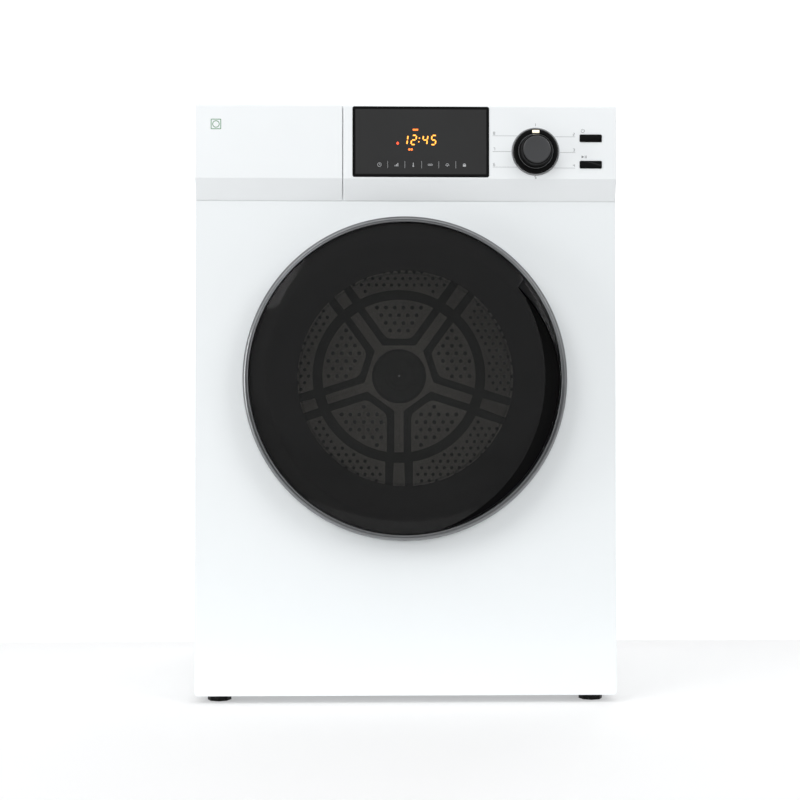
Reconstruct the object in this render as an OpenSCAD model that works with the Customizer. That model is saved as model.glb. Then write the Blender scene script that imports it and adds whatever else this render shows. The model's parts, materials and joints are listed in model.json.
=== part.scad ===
/* [Cabinet] */
// Width of the cabinet across its side panels
cab_w = 595; // [590:1:602]
// Height from the floor to the top of the cover
cab_h = 845; // [842:1:850]
// Depth of the sheet metal cabinet without the door and the rear cover
cab_d = 560; // [555:1:572]
// Height of the cabinet's underside above the floor
foot_gap = 11; // [10:1:14]
// Thickness of the painted sheet steel
sheet = 1.5; // [1.2:0.1:1.8]

/* [Control fascia] */
// Height of the fascia's lower edge above the floor
fascia_z = 709.5; // [708:0.5:711]
// Height of the crease where the fascia starts to slope back
crease_z = 740; // [738:1:741]
// How far the fascia stands in front of the front panel
fascia_out = 10; // [8:1:12]
// Place of the groove beside the end cover
groove_x = -89; // [-90:1:-86]
// Diameter of the dial's skirt
dial_d = 63; // [58:1:64]
// How far the dial stands in front of the fascia
dial_out = 20; // [16:1:22]
// Width of each push button
button_w = 31; // [28:1:32]
// Height of each push button
button_h = 10.3; // [9:0.1:11]
// How far a push button travels
button_travel = 1.5; // [1:0.1:1.6]

/* [Door] */
// Outer radius of the door's ring
door_r = 227; // [225:1:228]
// Height of the door's centre above the floor
door_z = 457.5; // [456:0.5:459]
// How far the door's glass stands in front of the front panel
door_out = 40; // [38:1:42]
// Diameter of the hinge pin
hinge_pin_d = 8; // [7:0.5:9]

/* [Drum] */
// Inner radius of the drum
drum_r = 279; // [277:0.5:279.5]
// Height of the drum's axis above the floor
drum_z = 477; // [476:1:478]
// Diameter of the holes in the drum's back
hole_d = 7; // [5:0.5:8]
// Spacing of the holes in the drum's back
hole_pitch = 17.5; // [17:0.5:20]
// Radius of the drum's rear shaft
shaft_r = 12; // [10:0.5:13]

/* [Drive] */
// Distance of the motor's axis to the right of the middle
motor_x = 150; // [145:1:155]
// Height of the motor's axis above the floor
motor_z = 105; // [102:1:108]
// Radius of the belt pulley on the motor's shaft
pulley_r = 12; // [10:0.5:14]

/* [Feet] */
// Diameter of each foot's disc
foot_d = 34; // [30:1:38]
// Distance of each foot from the middle, sideways
foot_x = 266; // [262:1:270]

/* [Hidden] */

// Fineness of ordinary round parts and of large visible ones
fine = 64;
extra_fine = 128;

// Clearance between pieces that move past each other
gap = 0.3;
// Radial clearance of a shaft or pin that runs in its bore
run_gap = 0.05;
// Overlap that makes a cut pass cleanly through a face
cut = 1;

// The front panel's face, the rear panel's face and the rear cover's depth
front_y = -267;
rear_y = front_y + cab_d;
rear_cover = 14;
half_w = cab_w / 2;

// Colours
steel_white = [0.93, 0.95, 0.95];
zinc = [0.72, 0.73, 0.74];
stainless = [0.66, 0.67, 0.68];
near_black = [0.09, 0.09, 0.10];
dark_grey = [0.25, 0.25, 0.26];
mid_grey = [0.50, 0.51, 0.52];
felt_grey = [0.42, 0.42, 0.40];
copper = [0.72, 0.45, 0.28];
glass = [0.16, 0.16, 0.17];

// Top cover and side panel heights
cover_z = cab_h - 23;
panel_top = cover_z - 0.5;
base_h = 22;

// The fascia: outer wall, top return and fold round the cabinet's corner
fascia_wall = 2.5;
fascia_top_back = front_y - 0.5;
fold = 12;
groove = 1.2;

// Display window: left, right, bottom and top edges
display_left = -76;
display_right = 117;
display_low = crease_z + 2;
display_high = cab_h - 3;
display_corner = 3;
display_proud = 0.6;

// Dial and buttons on the fascia
dial_x = 182.6;
dial_z = 778.7;
button_x = 261;
power_z = 798;
start_z = 760.6;
button_corner = 1.5;
button_gap = 0.4;
button_proud = 1.2;
board_y = front_y + 4;
board_t = 1.6;

// Clips that hold the fascia's end cover in the front panel
clip_at = [-270, -130];
clip_levels = [745, 800];
clip_half = 5;
clip_thick = 3;

// Door: centre, depths of its layers and radii
door_x = -2;
ring_in_r = door_r - 8.5;
ring_back = front_y - 2;
ring_front = front_y - 32;
glass_edge_y = front_y - 30;
glass_r = ring_in_r - 0.5;
bevel_w = 24;
bevel_rise = 6;
dome_y = front_y - door_out;
frame_front = front_y - 12;
frame_back = front_y - 4;
bowl_r = 155;
bowl_end_r = 133;
bowl_end_y = front_y + 50;
grip_shift = [-33, 2];
grip_inner_r = 228.5;

// Hinge at the door's left edge
hinge_x = door_x - 209;
hinge_y = front_y - 20;
lug_low_z = door_z - 33;
lug_high_z = door_z + 33;
lug_h = 15;
lug_r = 7.5;
pin_r = hinge_pin_d / 2;

// Latch at the door's right edge
strike_x = 200;
strike_t = 6;
strike_h = 14;

// Drum, front bulkhead and throat
drum_front = front_y + 74;
drum_back_y = front_y + 465;
drum_wall = 1.2;
drum_out_r = drum_r + drum_wall;
throat_r = 176;
bulkhead_y = front_y + 66.5;
bulkhead_t = 2.5;
hub_r = 44;
roller_r = 20;
roller_angle = 35;
roller_dist = drum_out_r + gap + roller_r;

// Belt plane and idler
belt_y = -72;
belt_w = 8;
belt_t = 2.5;
belt_gap = 0.4;
idler_r = 15;

// Lint filter below the throat
filter_half = 88;
filter_y = front_y + 53;
filter_t = 12;
filter_low = 175;

// Duct under the drum, from the filter to the blower
duct_right = 22;
duct_low = 38;
duct_high = 148;
duct_wall = 2;
duct_rear = 130;

// Exhaust: height, outer radius and wall of its pipe, and the recess round its collar
exhaust_z = 112;
exhaust_r = 50;
exhaust_wall = 1.5;
recess_r = 62;
recess_floor = rear_y - 30;
spigot_end = rear_y + 12;

// Heater housing behind the drum: its lowest and highest corner
heater_low = [motor_x - 46, 212, 182];
heater_high = [motor_x + 46, rear_y - sheet, 228];

// A flat shape in X and Z, given thickness from y0 to y1
module along_y(y0, y1) {
    translate([0, y1, 0])
        rotate([90, 0, 0])
            linear_extrude(y1 - y0)
                children();
}

// A solid rod along Y
module rod_y(x, z, r, y0, y1, n = fine) {
    translate([x, y1, z])
        rotate([90, 0, 0])
            cylinder(r = r, h = y1 - y0, $fn = n);
}

// A ring along Y
module ring_y(x, z, r_out, r_in, y0, y1, n = fine) {
    difference() {
        rod_y(x, z, r_out, y0, y1, n);
        rod_y(x, z, r_in, y0 - cut, y1 + cut, n);
    }
}

// A shape turned about an axis along Y, from points of radius and y
module turned_y(x, z, points, n = fine) {
    translate([x, 0, z])
        rotate([-90, 0, 0])
            rotate_extrude($fn = n)
                polygon(points);
}

// A box from its lowest corner to its highest corner
module box(low, high) {
    translate(low)
        cube(high - low);
}

// A rectangle with round corners in X and Z
module round_rect(x0, x1, z0, z1, r) {
    translate([x0 + r, z0 + r])
        offset(r = r, $fn = 32)
            square([x1 - x0 - 2 * r, z1 - z0 - 2 * r]);
}

// ---- Cabinet ----

// Places of the four feet, front pair first
foot_front_y = front_y + 40;
foot_rear_y = rear_y - 40;
stem_r = 5;
stem_run = 0.06;

module at_each_foot() {
    for (x = [-foot_x, foot_x])
        for (y = [foot_front_y, foot_rear_y])
            translate([x, y, 0])
                children();
}

// Folded tray that carries everything in the base, with a boss over each foot
module base_pan() {
    pan_y = front_y + fold + 0.2;
    color(zinc)
        difference() {
            union() {
                difference() {
                    box([2 - half_w, pan_y, foot_gap], [half_w - 2, rear_y - 2, foot_gap + base_h]);
                    box([4 - half_w, pan_y + 2, foot_gap + 2],
                        [half_w - 4, rear_y - 4, foot_gap + base_h + cut]);
                }
                at_each_foot()
                    translate([0, 0, foot_gap + 1])
                        cylinder(r = 11, h = 13, $fn = fine);
            }
            at_each_foot()
                translate([0, 0, foot_gap - cut])
                    cylinder(r = stem_r + stem_run, h = 16, $fn = fine);
        }
}

// One side panel with its folded front and rear edges; side is -1 or 1
module side_panel(side) {
    low = foot_gap + 1;
    front = front_y + fold + 0.2;
    color(steel_white)
        scale([side, 1, 1]) {
            box([half_w - sheet, front, low], [half_w, rear_y - 0.2, panel_top]);
            box([half_w - 16, front, base_h + low + 2], [half_w - sheet, front + sheet, panel_top]);
            box([half_w - 16, rear_y - sheet - 1.8, base_h + low + 2],
                [half_w - sheet, rear_y - 1.8, panel_top]);
        }
}

module side_panel_left() {
    mirror([1, 0, 0])
        side_panel(1);
}

module side_panel_right() {
    side_panel(1);
}

// Outline of the front panel, with small round corners
module front_outline(inset) {
    round_rect(-half_w + inset, half_w - inset, foot_gap + 0.5 + inset, panel_top - inset, 5);
}

// Front panel: a shallow pressed tray with openings for the door, latch, clips and board
module front_panel() {
    color(steel_white)
        difference() {
            along_y(front_y, front_y + fold)
                front_outline(0);
            along_y(front_y + sheet, front_y + fold + cut)
                front_outline(sheet);
            rod_y(door_x, door_z, throat_r + 2, front_y - cut, front_y + fold, extra_fine);
            box([strike_x - strike_t / 2 - 3, front_y - cut, door_z - strike_h / 2 - 3],
                [strike_x + strike_t / 2 + 6, front_y + fold, door_z + strike_h / 2 + 3]);
            for (x = clip_at)
                for (z = clip_levels)
                    box([x - clip_half - 1, front_y - cut, z - 2 * clip_thick],
                        [x + clip_half + 1, front_y + sheet + cut, z + clip_thick]);
            box([display_left - 6, front_y - cut, 717], [half_w - 9, front_y + fold, 815]);
        }
}

// Rear panel: pressed ring round the drum's back, air openings, exhaust hole and louvres
rear_ring_r = 263;
rear_open_r = 196;
heater_lip = 4;
module rear_panel() {
    y0 = rear_y - 2 * sheet;
    y1 = rear_y + cut;
    color(zinc) {
        difference() {
            box([2 - half_w, rear_y - sheet, foot_gap + 1], [half_w - 2, rear_y, panel_top]);
            rod_y(0, drum_z, rear_open_r, y0, y1, extra_fine);
            rod_y(motor_x, exhaust_z, recess_r + gap, y0, y1, extra_fine);
            box([heater_low[0] + heater_lip, y0, heater_low[2] + heater_lip],
                [heater_high[0] - heater_lip, y1, heater_high[2] - heater_lip]);
            for (x = [-230 : 14 : -90])
                box([x, y0, 60], [x + 6, y1, 140]);
        }
        ring_y(0, drum_z, rear_ring_r + sheet, rear_ring_r, drum_back_y + 6, rear_y - sheet, extra_fine);
    }
}

// Outline of the air channel on the rear: a disc with a leg down to the heater's outlet
module duct_cover_outline(grow) {
    leg_half = 58;
    leg_z = 218;
    hull() {
        translate([0, drum_z])
            circle(r = rear_open_r + 14 + grow, $fn = extra_fine);
        translate([0, drum_z - 60])
            circle(r = rear_open_r - 20 + grow, $fn = extra_fine);
    }
    translate([motor_x, leg_z])
        offset(r = grow + 8, $fn = 32)
            square([2 * leg_half - 16, 56], center = true);
    translate([motor_x - leg_half - grow, leg_z])
        square([2 * (leg_half + grow), 200]);
}

module rear_duct_cover() {
    color(zinc)
        difference() {
            along_y(rear_y, rear_y + rear_cover)
                duct_cover_outline(0);
            along_y(rear_y - cut, rear_y + rear_cover - sheet)
                duct_cover_outline(-sheet);
        }
}

// Top cover: a lid with a lip all round
module top_cover() {
    lid = 3;
    y0 = fascia_top_back + 0.5;
    color(steel_white)
        difference() {
            along_y(y0, rear_y)
                round_rect(-half_w, half_w, cover_z, cab_h, 3);
            box([-half_w + lid, y0 + lid, cover_z - cut], [half_w - lid, rear_y - lid, cab_h - lid]);
        }
}

// Channel-shaped rails across the cabinet, under the cover
module top_rails() {
    color(zinc)
        for (y = [front_y + 14, rear_y - 44])
            difference() {
                box([sheet - half_w, y, panel_top - 5], [half_w - sheet, y + 30, panel_top]);
                box([20 - half_w, y + 3, panel_top - 6], [half_w - 20, y + 27, panel_top - 2]);
            }
}

// Cover over the mains terminals, with the cord's gland in its floor
gland_r = 5.5;
gland_x = -240;
module terminal_cover() {
    low = [gland_x - 45, rear_y, 690];
    high = [gland_x + 45, rear_y + rear_cover, 770];
    boss_y = rear_y + rear_cover / 2;
    color(dark_grey)
        difference() {
            union() {
                difference() {
                    box(low, high);
                    box(low + [2, -cut, 2], high - [2, 2, 2]);
                }
                box([gland_x - 16, rear_y, 690], [gland_x + 16, rear_y + rear_cover, 700]);
            }
            translate([gland_x, boss_y, 690 - cut])
                cylinder(r = gland_r, h = 10 + 2 * cut, $fn = fine);
        }
}

// Screws round the rear panel
module cabinet_screws() {
    color(zinc)
        for (x = [-half_w + 9, half_w - 9])
            for (z = [60 : 180 : 780])
                difference() {
                    rod_y(x, z, 4, rear_y, rear_y + 2.4, 32);
                    rod_y(x, z, 1.6, rear_y + 1.2, rear_y + 3, 6);
                }
}

// ---- Control fascia ----

// Section of the fascia in Y and Z; inset moves its outer faces inwards
module fascia_section(inset) {
    top = cab_h - inset;
    face = front_y - fascia_out + inset;
    foot = front_y - 1 + inset;
    polygon([
        [fascia_top_back + inset * 4, top], [face + 4, top], [face + 1.2, top - 1.2], [face, top - 4],
        [face, crease_z], [foot, fascia_z + inset], [fascia_top_back + inset * 4, fascia_z + inset]
    ]);
}

// One fascia block: a shell between two sides, open at its back
module fascia_block(x0, x1) {
    difference() {
        translate([x0, 0, 0])
            rotate([90, 0, 90])
                linear_extrude(x1 - x0)
                    fascia_section(0);
        translate([x0 + fascia_wall, 0, 0])
            rotate([90, 0, 90])
                linear_extrude(x1 - x0 - 2 * fascia_wall)
                    fascia_section(fascia_wall);
    }
}

module button_hole(z) {
    along_y(front_y - fascia_out - cut, front_y - fascia_out + fascia_wall + cut)
        round_rect(button_x - button_w / 2 - button_gap, button_x + button_w / 2 + button_gap,
            z - button_h / 2 - button_gap, z + button_h / 2 + button_gap, button_corner + button_gap);
}

// Right block, with openings for the display, the dial's shaft and the buttons
dial_hole_r = 5;
module control_fascia() {
    color(steel_white)
        difference() {
            fascia_block(groove_x, half_w);
            along_y(front_y - fascia_out - cut, front_y - fascia_out + fascia_wall + cut)
                round_rect(display_left, display_right, display_low, display_high, display_corner);
            rod_y(dial_x, dial_z, dial_hole_r,
                front_y - fascia_out - cut, front_y - fascia_out + fascia_wall + cut);
            button_hole(power_z);
            button_hole(start_z);
        }
}

// Dark window over the display
module display_window() {
    color(near_black)
        along_y(front_y - fascia_out - display_proud, front_y - fascia_out + fascia_wall - 0.5)
            round_rect(display_left, display_right, display_low, display_high, display_corner);
}

// Circuit board with its display, chips, dial encoder and push switches
module control_board() {
    front = front_y - fascia_out + fascia_wall;
    color([0.10, 0.30, 0.18])
        box([display_left - 2, board_y, 724], [button_x + 24, board_y + board_t, 812]);
    color(near_black) {
        box([display_left + 30, front + 1.5, 762], [display_right - 40, board_y, 806]);
        for (x = [-50 : 34 : 120])
            box([x, board_y + board_t, 735], [x + 16, board_y + board_t + 3, 750]);
        for (z = [power_z, start_z])
            box([button_x - 3.5, board_y - 3, z - 3.5], [button_x + 3.5, board_y, z + 3.5]);
    }
    color(mid_grey)
        difference() {
            box([dial_x - 8, board_y - 8, dial_z - 8], [dial_x + 8, board_y, dial_z + 8]);
            rod_y(dial_x, dial_z, 3 + run_gap, board_y - 9, board_y - 2);
        }
}

// Grey ring set round the dial
module dial_ring() {
    y1 = front_y - fascia_out;
    color(mid_grey)
        turned_y(dial_x, dial_z, [
            [dial_d / 2 + 0.5, y1], [dial_d / 2 + 2.4, y1], [dial_d / 2 + 2.4, y1 - 1],
            [dial_d / 2 + 1.9, y1 - 1.6], [dial_d / 2 + 0.5, y1 - 1.6]
        ], extra_fine);
}

// Dial: skirt, raised cap and the shaft that turns the encoder
module dial_knob() {
    y0 = front_y - fascia_out;
    skirt = dial_d / 2;
    cap = skirt * 0.673;
    color(near_black) {
        turned_y(dial_x, dial_z, [
            [0, y0 - gap], [skirt - 0.6, y0 - gap], [skirt, y0 - 0.9], [skirt, y0 - 3.2],
            [skirt - 1.2, y0 - 4.4], [skirt * 0.77, y0 - 5], [skirt * 0.75, y0 - 5.8],
            [cap + 1.4, y0 - dial_out + 5], [cap, y0 - dial_out + 1.5], [cap - 1.5, y0 - dial_out + 0.2],
            [cap - 4, y0 - dial_out], [0, y0 - dial_out]
        ], extra_fine);
        rod_y(dial_x, dial_z, 3, y0 - gap - 0.2, board_y - 3);
    }
}

// A push button with the flange that holds it behind the fascia
module push_button(z) {
    face = front_y - fascia_out;
    inner = face + fascia_wall;
    color(near_black) {
        along_y(face - button_proud, inner + gap + 0.5)
            round_rect(button_x - button_w / 2, button_x + button_w / 2,
                z - button_h / 2, z + button_h / 2, button_corner);
        box([button_x - button_w / 2 - 1.5, inner + gap, z - button_h / 2 - 1.5],
            [button_x + button_w / 2 + 1.5, inner + gap + 1.5, z + button_h / 2 + 1.5]);
        box([button_x - 2, inner + gap + 1, z - 2],
            [button_x + 2, board_y - 3 - button_travel - gap, z + 2]);
    }
}

module power_button() {
    push_button(power_z);
}

module start_button() {
    push_button(start_z);
}

// End cover left of the groove, flush with the fascia, with four snap clips
module fascia_end_cover() {
    y0 = front_y - fascia_out + fascia_wall - 0.5;
    y1 = front_y + sheet + 4;
    color(steel_white) {
        fascia_block(-half_w, groove_x - groove);
        for (x = clip_at)
            for (z = clip_levels) {
                box([x - clip_half, y0, z - clip_thick / 2], [x + clip_half, y1, z + clip_thick / 2]);
                box([x - clip_half, front_y + sheet + gap, z - clip_thick / 2 - 2],
                    [x + clip_half, y1, z]);
            }
    }
}

// ---- Door ----

// Space behind the hinge's axis that the door's left edge keeps clear as it opens
module hinge_relief() {
    reach = 30;
    difference() {
        box([hinge_x - reach, hinge_y, door_z - 92], [hinge_x, front_y + cut, door_z + 92]);
        translate([hinge_x, hinge_y, door_z - 93])
            cylinder(r = 17.6, h = 186, $fn = fine);
    }
    for (z = [lug_low_z, lug_high_z])
        translate([hinge_x, hinge_y, z - lug_h / 2 - 0.6]) {
            cylinder(r = lug_r + 0.6, h = lug_h + 1.2, $fn = fine);
            intersection() {
                cylinder(r = 36, h = lug_h + 1.2, $fn = fine);
                translate([-40, -3, 0])
                    cube([80, 60, lug_h + 1.2]);
            }
        }
}

// Satin ring round the door, rounded on its outer edge
module door_ring() {
    color([0.62, 0.63, 0.64])
        difference() {
            turned_y(door_x, door_z, [
                [ring_in_r, ring_back], [door_r - 1, ring_back], [door_r, ring_back - 1],
                [door_r, ring_front + 9.5], [door_r - 1, ring_front + 5.6], [door_r - 2.8, ring_front + 2.6],
                [door_r - 4.8, ring_front + 0.8], [door_r - 6.6, ring_front],
                [ring_in_r + 0.8, ring_front], [ring_in_r, ring_front + 0.8]
            ], extra_fine);
            hinge_relief();
        }
}

// Crescent of the finger recess, smaller by inset
module crescent(inset) {
    difference() {
        intersection() {
            circle(r = glass_r - 1.5 - inset, $fn = extra_fine);
            translate([8, -20])
                circle(r = 211 - inset, $fn = extra_fine);
        }
        translate(grip_shift)
            circle(r = grip_inner_r + inset, $fn = extra_fine);
    }
}

// Domed outer glass with its bevelled edge, open at the finger recess
module door_window() {
    t = 4;
    flat_r = glass_r - bevel_w;
    bevel_y = glass_edge_y - bevel_rise;
    dome = [for (i = [0 : 8]) let (k = i / 8)
        [flat_r * (1 - k), bevel_y + (dome_y - bevel_y) * (1 - pow(1 - k, 2))]];
    inner = [for (i = [8 : -1 : 0]) dome[i] + [0, t]];
    color(glass)
        difference() {
            turned_y(door_x, door_z, concat(
                [[glass_r, glass_edge_y + t - 1], [glass_r, glass_edge_y]], dome, inner), extra_fine);
            translate([door_x, 0, door_z])
                along_y(dome_y - cut, front_y)
                    crescent(0);
        }
}

// Finger recess: a crescent tray, open to the front and undercut behind the glass
grip_floor_y = front_y - 12.5;
module door_grip() {
    lip_y = glass_edge_y + 3.4;
    color([0.05, 0.05, 0.05])
        difference() {
            translate([door_x, 0, door_z])
                along_y(lip_y, grip_floor_y)
                    intersection() {
                        circle(r = glass_r - 0.3, $fn = extra_fine);
                        translate([8, -20])
                            circle(r = 213.5, $fn = extra_fine);
                        difference() {
                            circle(r = glass_r, $fn = extra_fine);
                            translate(grip_shift)
                                circle(r = grip_inner_r - 22, $fn = extra_fine);
                        }
                    }
            translate([door_x, 0, door_z])
                along_y(lip_y - cut, grip_floor_y - 2)
                    intersection() {
                        circle(r = glass_r - 1.8, $fn = extra_fine);
                        translate([8, -20])
                            circle(r = 211.5, $fn = extra_fine);
                        difference() {
                            circle(r = glass_r, $fn = extra_fine);
                            translate(grip_shift)
                                circle(r = grip_inner_r - 20, $fn = extra_fine);
                        }
                    }
            rod_y(door_x, door_z, frame_in_r + 0.2, front_y - 60, front_y, extra_fine);
        }
}

// Inner glass bowl that keeps the laundry off the door
module door_bowl() {
    t = 5;
    rim = bowl_r + 14;
    color([0.30, 0.31, 0.32])
        turned_y(door_x, door_z, [
            [rim, frame_front - 0.3], [rim, frame_front - 0.3 - t], [bowl_r - 6, frame_front - 0.3 - t],
            [bowl_r - t - 2, frame_front + 4], [bowl_end_r - t + 2, bowl_end_y - 14],
            [bowl_end_r - t - 4, bowl_end_y - t - 3], [bowl_end_r - t - 12, bowl_end_y - t],
            [0, bowl_end_y - t - 4], [0, bowl_end_y - 4],
            [bowl_end_r - 12, bowl_end_y], [bowl_end_r - 3, bowl_end_y - 4],
            [bowl_end_r + 2, bowl_end_y - 14], [bowl_r, frame_front + 4], [bowl_r, frame_front - 0.3]
        ], extra_fine);
}

// Moulded frame behind the glass, with the hinge's knuckle on its left
frame_in_r = bowl_r + 14.5;
frame_out_r = 217;
knuckle_h = lug_high_z - lug_low_z - lug_h - 2 * gap;
module door_inner_frame() {
    knuckle_z = door_z - knuckle_h / 2;
    color(dark_grey)
        difference() {
            union() {
                ring_y(door_x, door_z, frame_out_r, bowl_r + 0.5, frame_front, frame_back, extra_fine);
                ring_y(door_x, door_z, frame_in_r + 3, frame_in_r,
                    frame_front - 10, frame_front, extra_fine);
                difference() {
                    rod_y(door_x, door_z, frame_out_r - 2, hinge_y - 6, frame_front, extra_fine);
                    rod_y(door_x, door_z, frame_in_r, hinge_y - 7, frame_back, extra_fine);
                    box([hinge_x + 18, hinge_y - 10, door_z - 300],
                        [door_x + 300, frame_back, door_z + 300]);
                }
                translate([hinge_x, hinge_y, knuckle_z])
                    cylinder(r = lug_r, h = knuckle_h, $fn = fine);
            }
            hinge_relief();
            translate([hinge_x, hinge_y, knuckle_z - 60])
                cylinder(r = pin_r + run_gap, h = knuckle_h + 120, $fn = fine);
        }
}

// Soft seal on the frame's back
module door_seal() {
    color(felt_grey)
        turned_y(door_x, door_z, [
            [throat_r + 2.5, frame_back], [throat_r + 9, frame_back], [throat_r + 7.5, front_y - gap],
            [throat_r + 3.5, front_y - gap]
        ], extra_fine);
}

// Fixed hinge bracket: a plate behind the panel's face line and two lugs
module hinge_bracket() {
    foot_x0 = 22;
    color(zinc)
        difference() {
            union() {
                box([hinge_x + 9, front_y - 2.5, lug_low_z - 11], [hinge_x + 23, front_y, lug_high_z + 11]);
                for (z = [lug_low_z, lug_high_z])
                    translate([hinge_x, hinge_y, z - lug_h / 2]) {
                        cylinder(r = lug_r, h = lug_h, $fn = fine);
                        linear_extrude(lug_h)
                            polygon([
                                [2, 7], [7, -1], [foot_x0, 17.5], [foot_x0, 20], [9, 20], [9, 17]
                            ]);
                    }
            }
            translate([hinge_x, hinge_y, lug_low_z - lug_h])
                cylinder(r = pin_r, h = 2 * lug_h + 66, $fn = fine);
        }
}

// Hinge pin, held in the bracket's lugs
module hinge_pin() {
    color(stainless)
        translate([hinge_x, hinge_y, lug_low_z - lug_h / 2 - 0.4])
            cylinder(r = pin_r, h = 66 + lug_h + 0.8, $fn = fine);
}

// Tongue on the door that enters the latch
module door_strike() {
    color(zinc)
        difference() {
            box([strike_x - strike_t / 2, frame_back, door_z - strike_h / 2],
                [strike_x + strike_t / 2, front_y + 27, door_z + strike_h / 2]);
            box([strike_x - strike_t, front_y + 10, door_z - 3],
                [strike_x + strike_t, front_y + 18, door_z + 3]);
        }
}

// Latch body behind the panel, with two sprung jaws above and below the tongue
module latch_housing() {
    x0 = strike_x - strike_t / 2 - 4;
    x1 = strike_x + strike_t / 2 + 7;
    z1 = strike_h / 2 + 24;
    color(dark_grey)
        difference() {
            box([x0 - 2, front_y + sheet, door_z - z1 - 2], [x1 + 2, front_y + 34, door_z + z1 + 2]);
            box([x0, front_y + 8, door_z - z1], [x1, front_y + 18.6, door_z + z1]);
            box([x0, front_y, door_z - strike_h / 2 - 1], [x1, front_y + 32, door_z + strike_h / 2 + 1]);
        }
}

// One jaw of the latch; side is 1 above the tongue and -1 below it
module latch_jaw(side) {
    x0 = strike_x - strike_t / 2 - 4 + gap;
    x1 = strike_x + strike_t / 2 + 7 - gap;
    z0 = strike_h / 2 + gap;
    color(mid_grey)
        translate([0, 0, door_z])
            mirror([0, 0, side > 0 ? 0 : 1])
                difference() {
                    box([x0, front_y + 8.3, z0], [x1, front_y + 18.3, z0 + 14]);
                    translate([strike_x + 1.5, front_y + 13.3, z0 + 6])
                        cylinder(r = 3, h = 9, $fn = 32);
                }
}

module latch_jaw_upper() {
    latch_jaw(1);
}

module latch_jaw_lower() {
    latch_jaw(-1);
}

// ---- Drum ----

// Drum wall with two rolled beads and a rolled front edge
module drum_shell() {
    out = drum_out_r;
    bead = 1;
    mid = (drum_front + drum_back_y) / 2;
    color(stainless)
        turned_y(0, drum_z, [
            [drum_r, drum_front], [out, drum_front], [out, mid - 96],
            [out - bead, mid - 92], [out - bead, mid - 86], [out, mid - 82],
            [out, mid + 82], [out - bead, mid + 86], [out - bead, mid + 92], [out, mid + 96],
            [out, drum_back_y], [drum_r, drum_back_y], [drum_r, mid + 97],
            [drum_r - bead, mid + 93], [drum_r - bead, mid + 85], [drum_r, mid + 81],
            [drum_r, mid - 81], [drum_r - bead, mid - 85], [drum_r - bead, mid - 93], [drum_r, mid - 97]
        ], extra_fine);
}

// One sector of the drum's back, centred on the given angle
sector_count = 5;
sector_first = -54;
spoke_half = 7.5;
channel_w = 11;
function in_sector(p) = let (
    r = norm(p),
    a = atan2(p[1], p[0]) - sector_first,
    step = 360 / sector_count,
    off = a - step * round(a / step),
    side = spoke_half + channel_w + hole_d
) r > 96 && r < drum_r - 22 && r * sin(step / 2 - abs(off)) > side;

// Pressed back of the drum with its ribs, hub and air holes
module drum_back() {
    rows = ceil(drum_r / (hole_pitch * 0.866));
    y1 = drum_back_y - 0.2;
    color(stainless) {
        difference() {
            turned_y(0, drum_z, [
                [0, y1 - 14], [hub_r - 3, y1 - 14], [hub_r, y1 - 12], [hub_r + 4, y1 - 2.4],
                [drum_r - 12, y1 - 2.4], [drum_r - 9, y1 - 8], [drum_r - 0.3, y1 - 8],
                [drum_r - 0.3, y1 - 6.6], [drum_r - 7.6, y1 - 6.6],
                [drum_r - 10.6, y1], [hub_r, y1], [hub_r - 4, y1 - 10], [0, y1 - 10]
            ], extra_fine);
            for (j = [-rows : rows])
                for (i = [-rows - 10 : rows + 10])
                    let (p = [(i + j / 2) * hole_pitch, j * hole_pitch * 0.866])
                        if (in_sector(p))
                            rod_y(p[0], drum_z + p[1], hole_d / 2, y1 - 4, y1 + cut, 16);
        }
        for (k = [0 : sector_count - 1])
            translate([0, 0, drum_z])
                rotate([0, -(sector_first + 36 + k * 72), 0])
                    translate([hub_r + 2, y1 - 9, -spoke_half])
                        cube([drum_r - hub_r - 16, 7, 2 * spoke_half]);
    }
}

// Lifting paddles inside the drum
module drum_baffles() {
    h = 52;
    half = 34;
    color(mid_grey)
        for (k = [0 : 2])
            translate([0, 0, drum_z])
                rotate([0, 60 + k * 120, 0])
                    along_y(drum_front + 36, drum_back_y - 60)
                        difference() {
                            polygon([
                                [-half, 2 - drum_r], [half, 2 - drum_r], [half - 12, 16 - drum_r],
                                [12, h - 6 - drum_r], [6, h - drum_r], [-6, h - drum_r],
                                [-12, h - 6 - drum_r], [12 - half, 16 - drum_r]
                            ]);
                            circle(r = 40, $fn = fine);
                            difference() {
                                circle(r = drum_r + 60, $fn = extra_fine);
                                circle(r = drum_r - 1.4, $fn = extra_fine);
                            }
                        }
}

// Shaft at the middle of the drum's back
shaft_end = drum_back_y + 74;
module drum_shaft() {
    color(zinc) {
        rod_y(0, drum_z, 34, drum_back_y - 10.2, drum_back_y - 6, fine);
        rod_y(0, drum_z, shaft_r, drum_back_y - 6, shaft_end, fine);
    }
}

// Bearing in the bracket
bearing_out_r = 26;
bearing_y0 = drum_back_y + 50;
bearing_y1 = bearing_y0 + 18;
module shaft_bearing() {
    color(stainless)
        ring_y(0, drum_z, bearing_out_r, shaft_r + run_gap, bearing_y0, bearing_y1, fine);
}

// Three-armed bracket that holds the bearing inside the rear ring
module bearing_bracket() {
    color(zinc)
        difference() {
            union() {
                rod_y(0, drum_z, bearing_out_r + 14, bearing_y0 - 3, bearing_y1, fine);
                for (k = [0 : 2])
                    translate([0, 0, drum_z])
                        rotate([0, 90 + k * 120, 0])
                            box([bearing_out_r, bearing_y0, -15], [rear_ring_r - 0.4, bearing_y0 + 8, 15]);
            }
            rod_y(0, drum_z, bearing_out_r, bearing_y0, bearing_y1 + cut, fine);
            rod_y(0, drum_z, shaft_r + 2, bearing_y0 - 4, bearing_y1, fine);
        }
}

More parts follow.
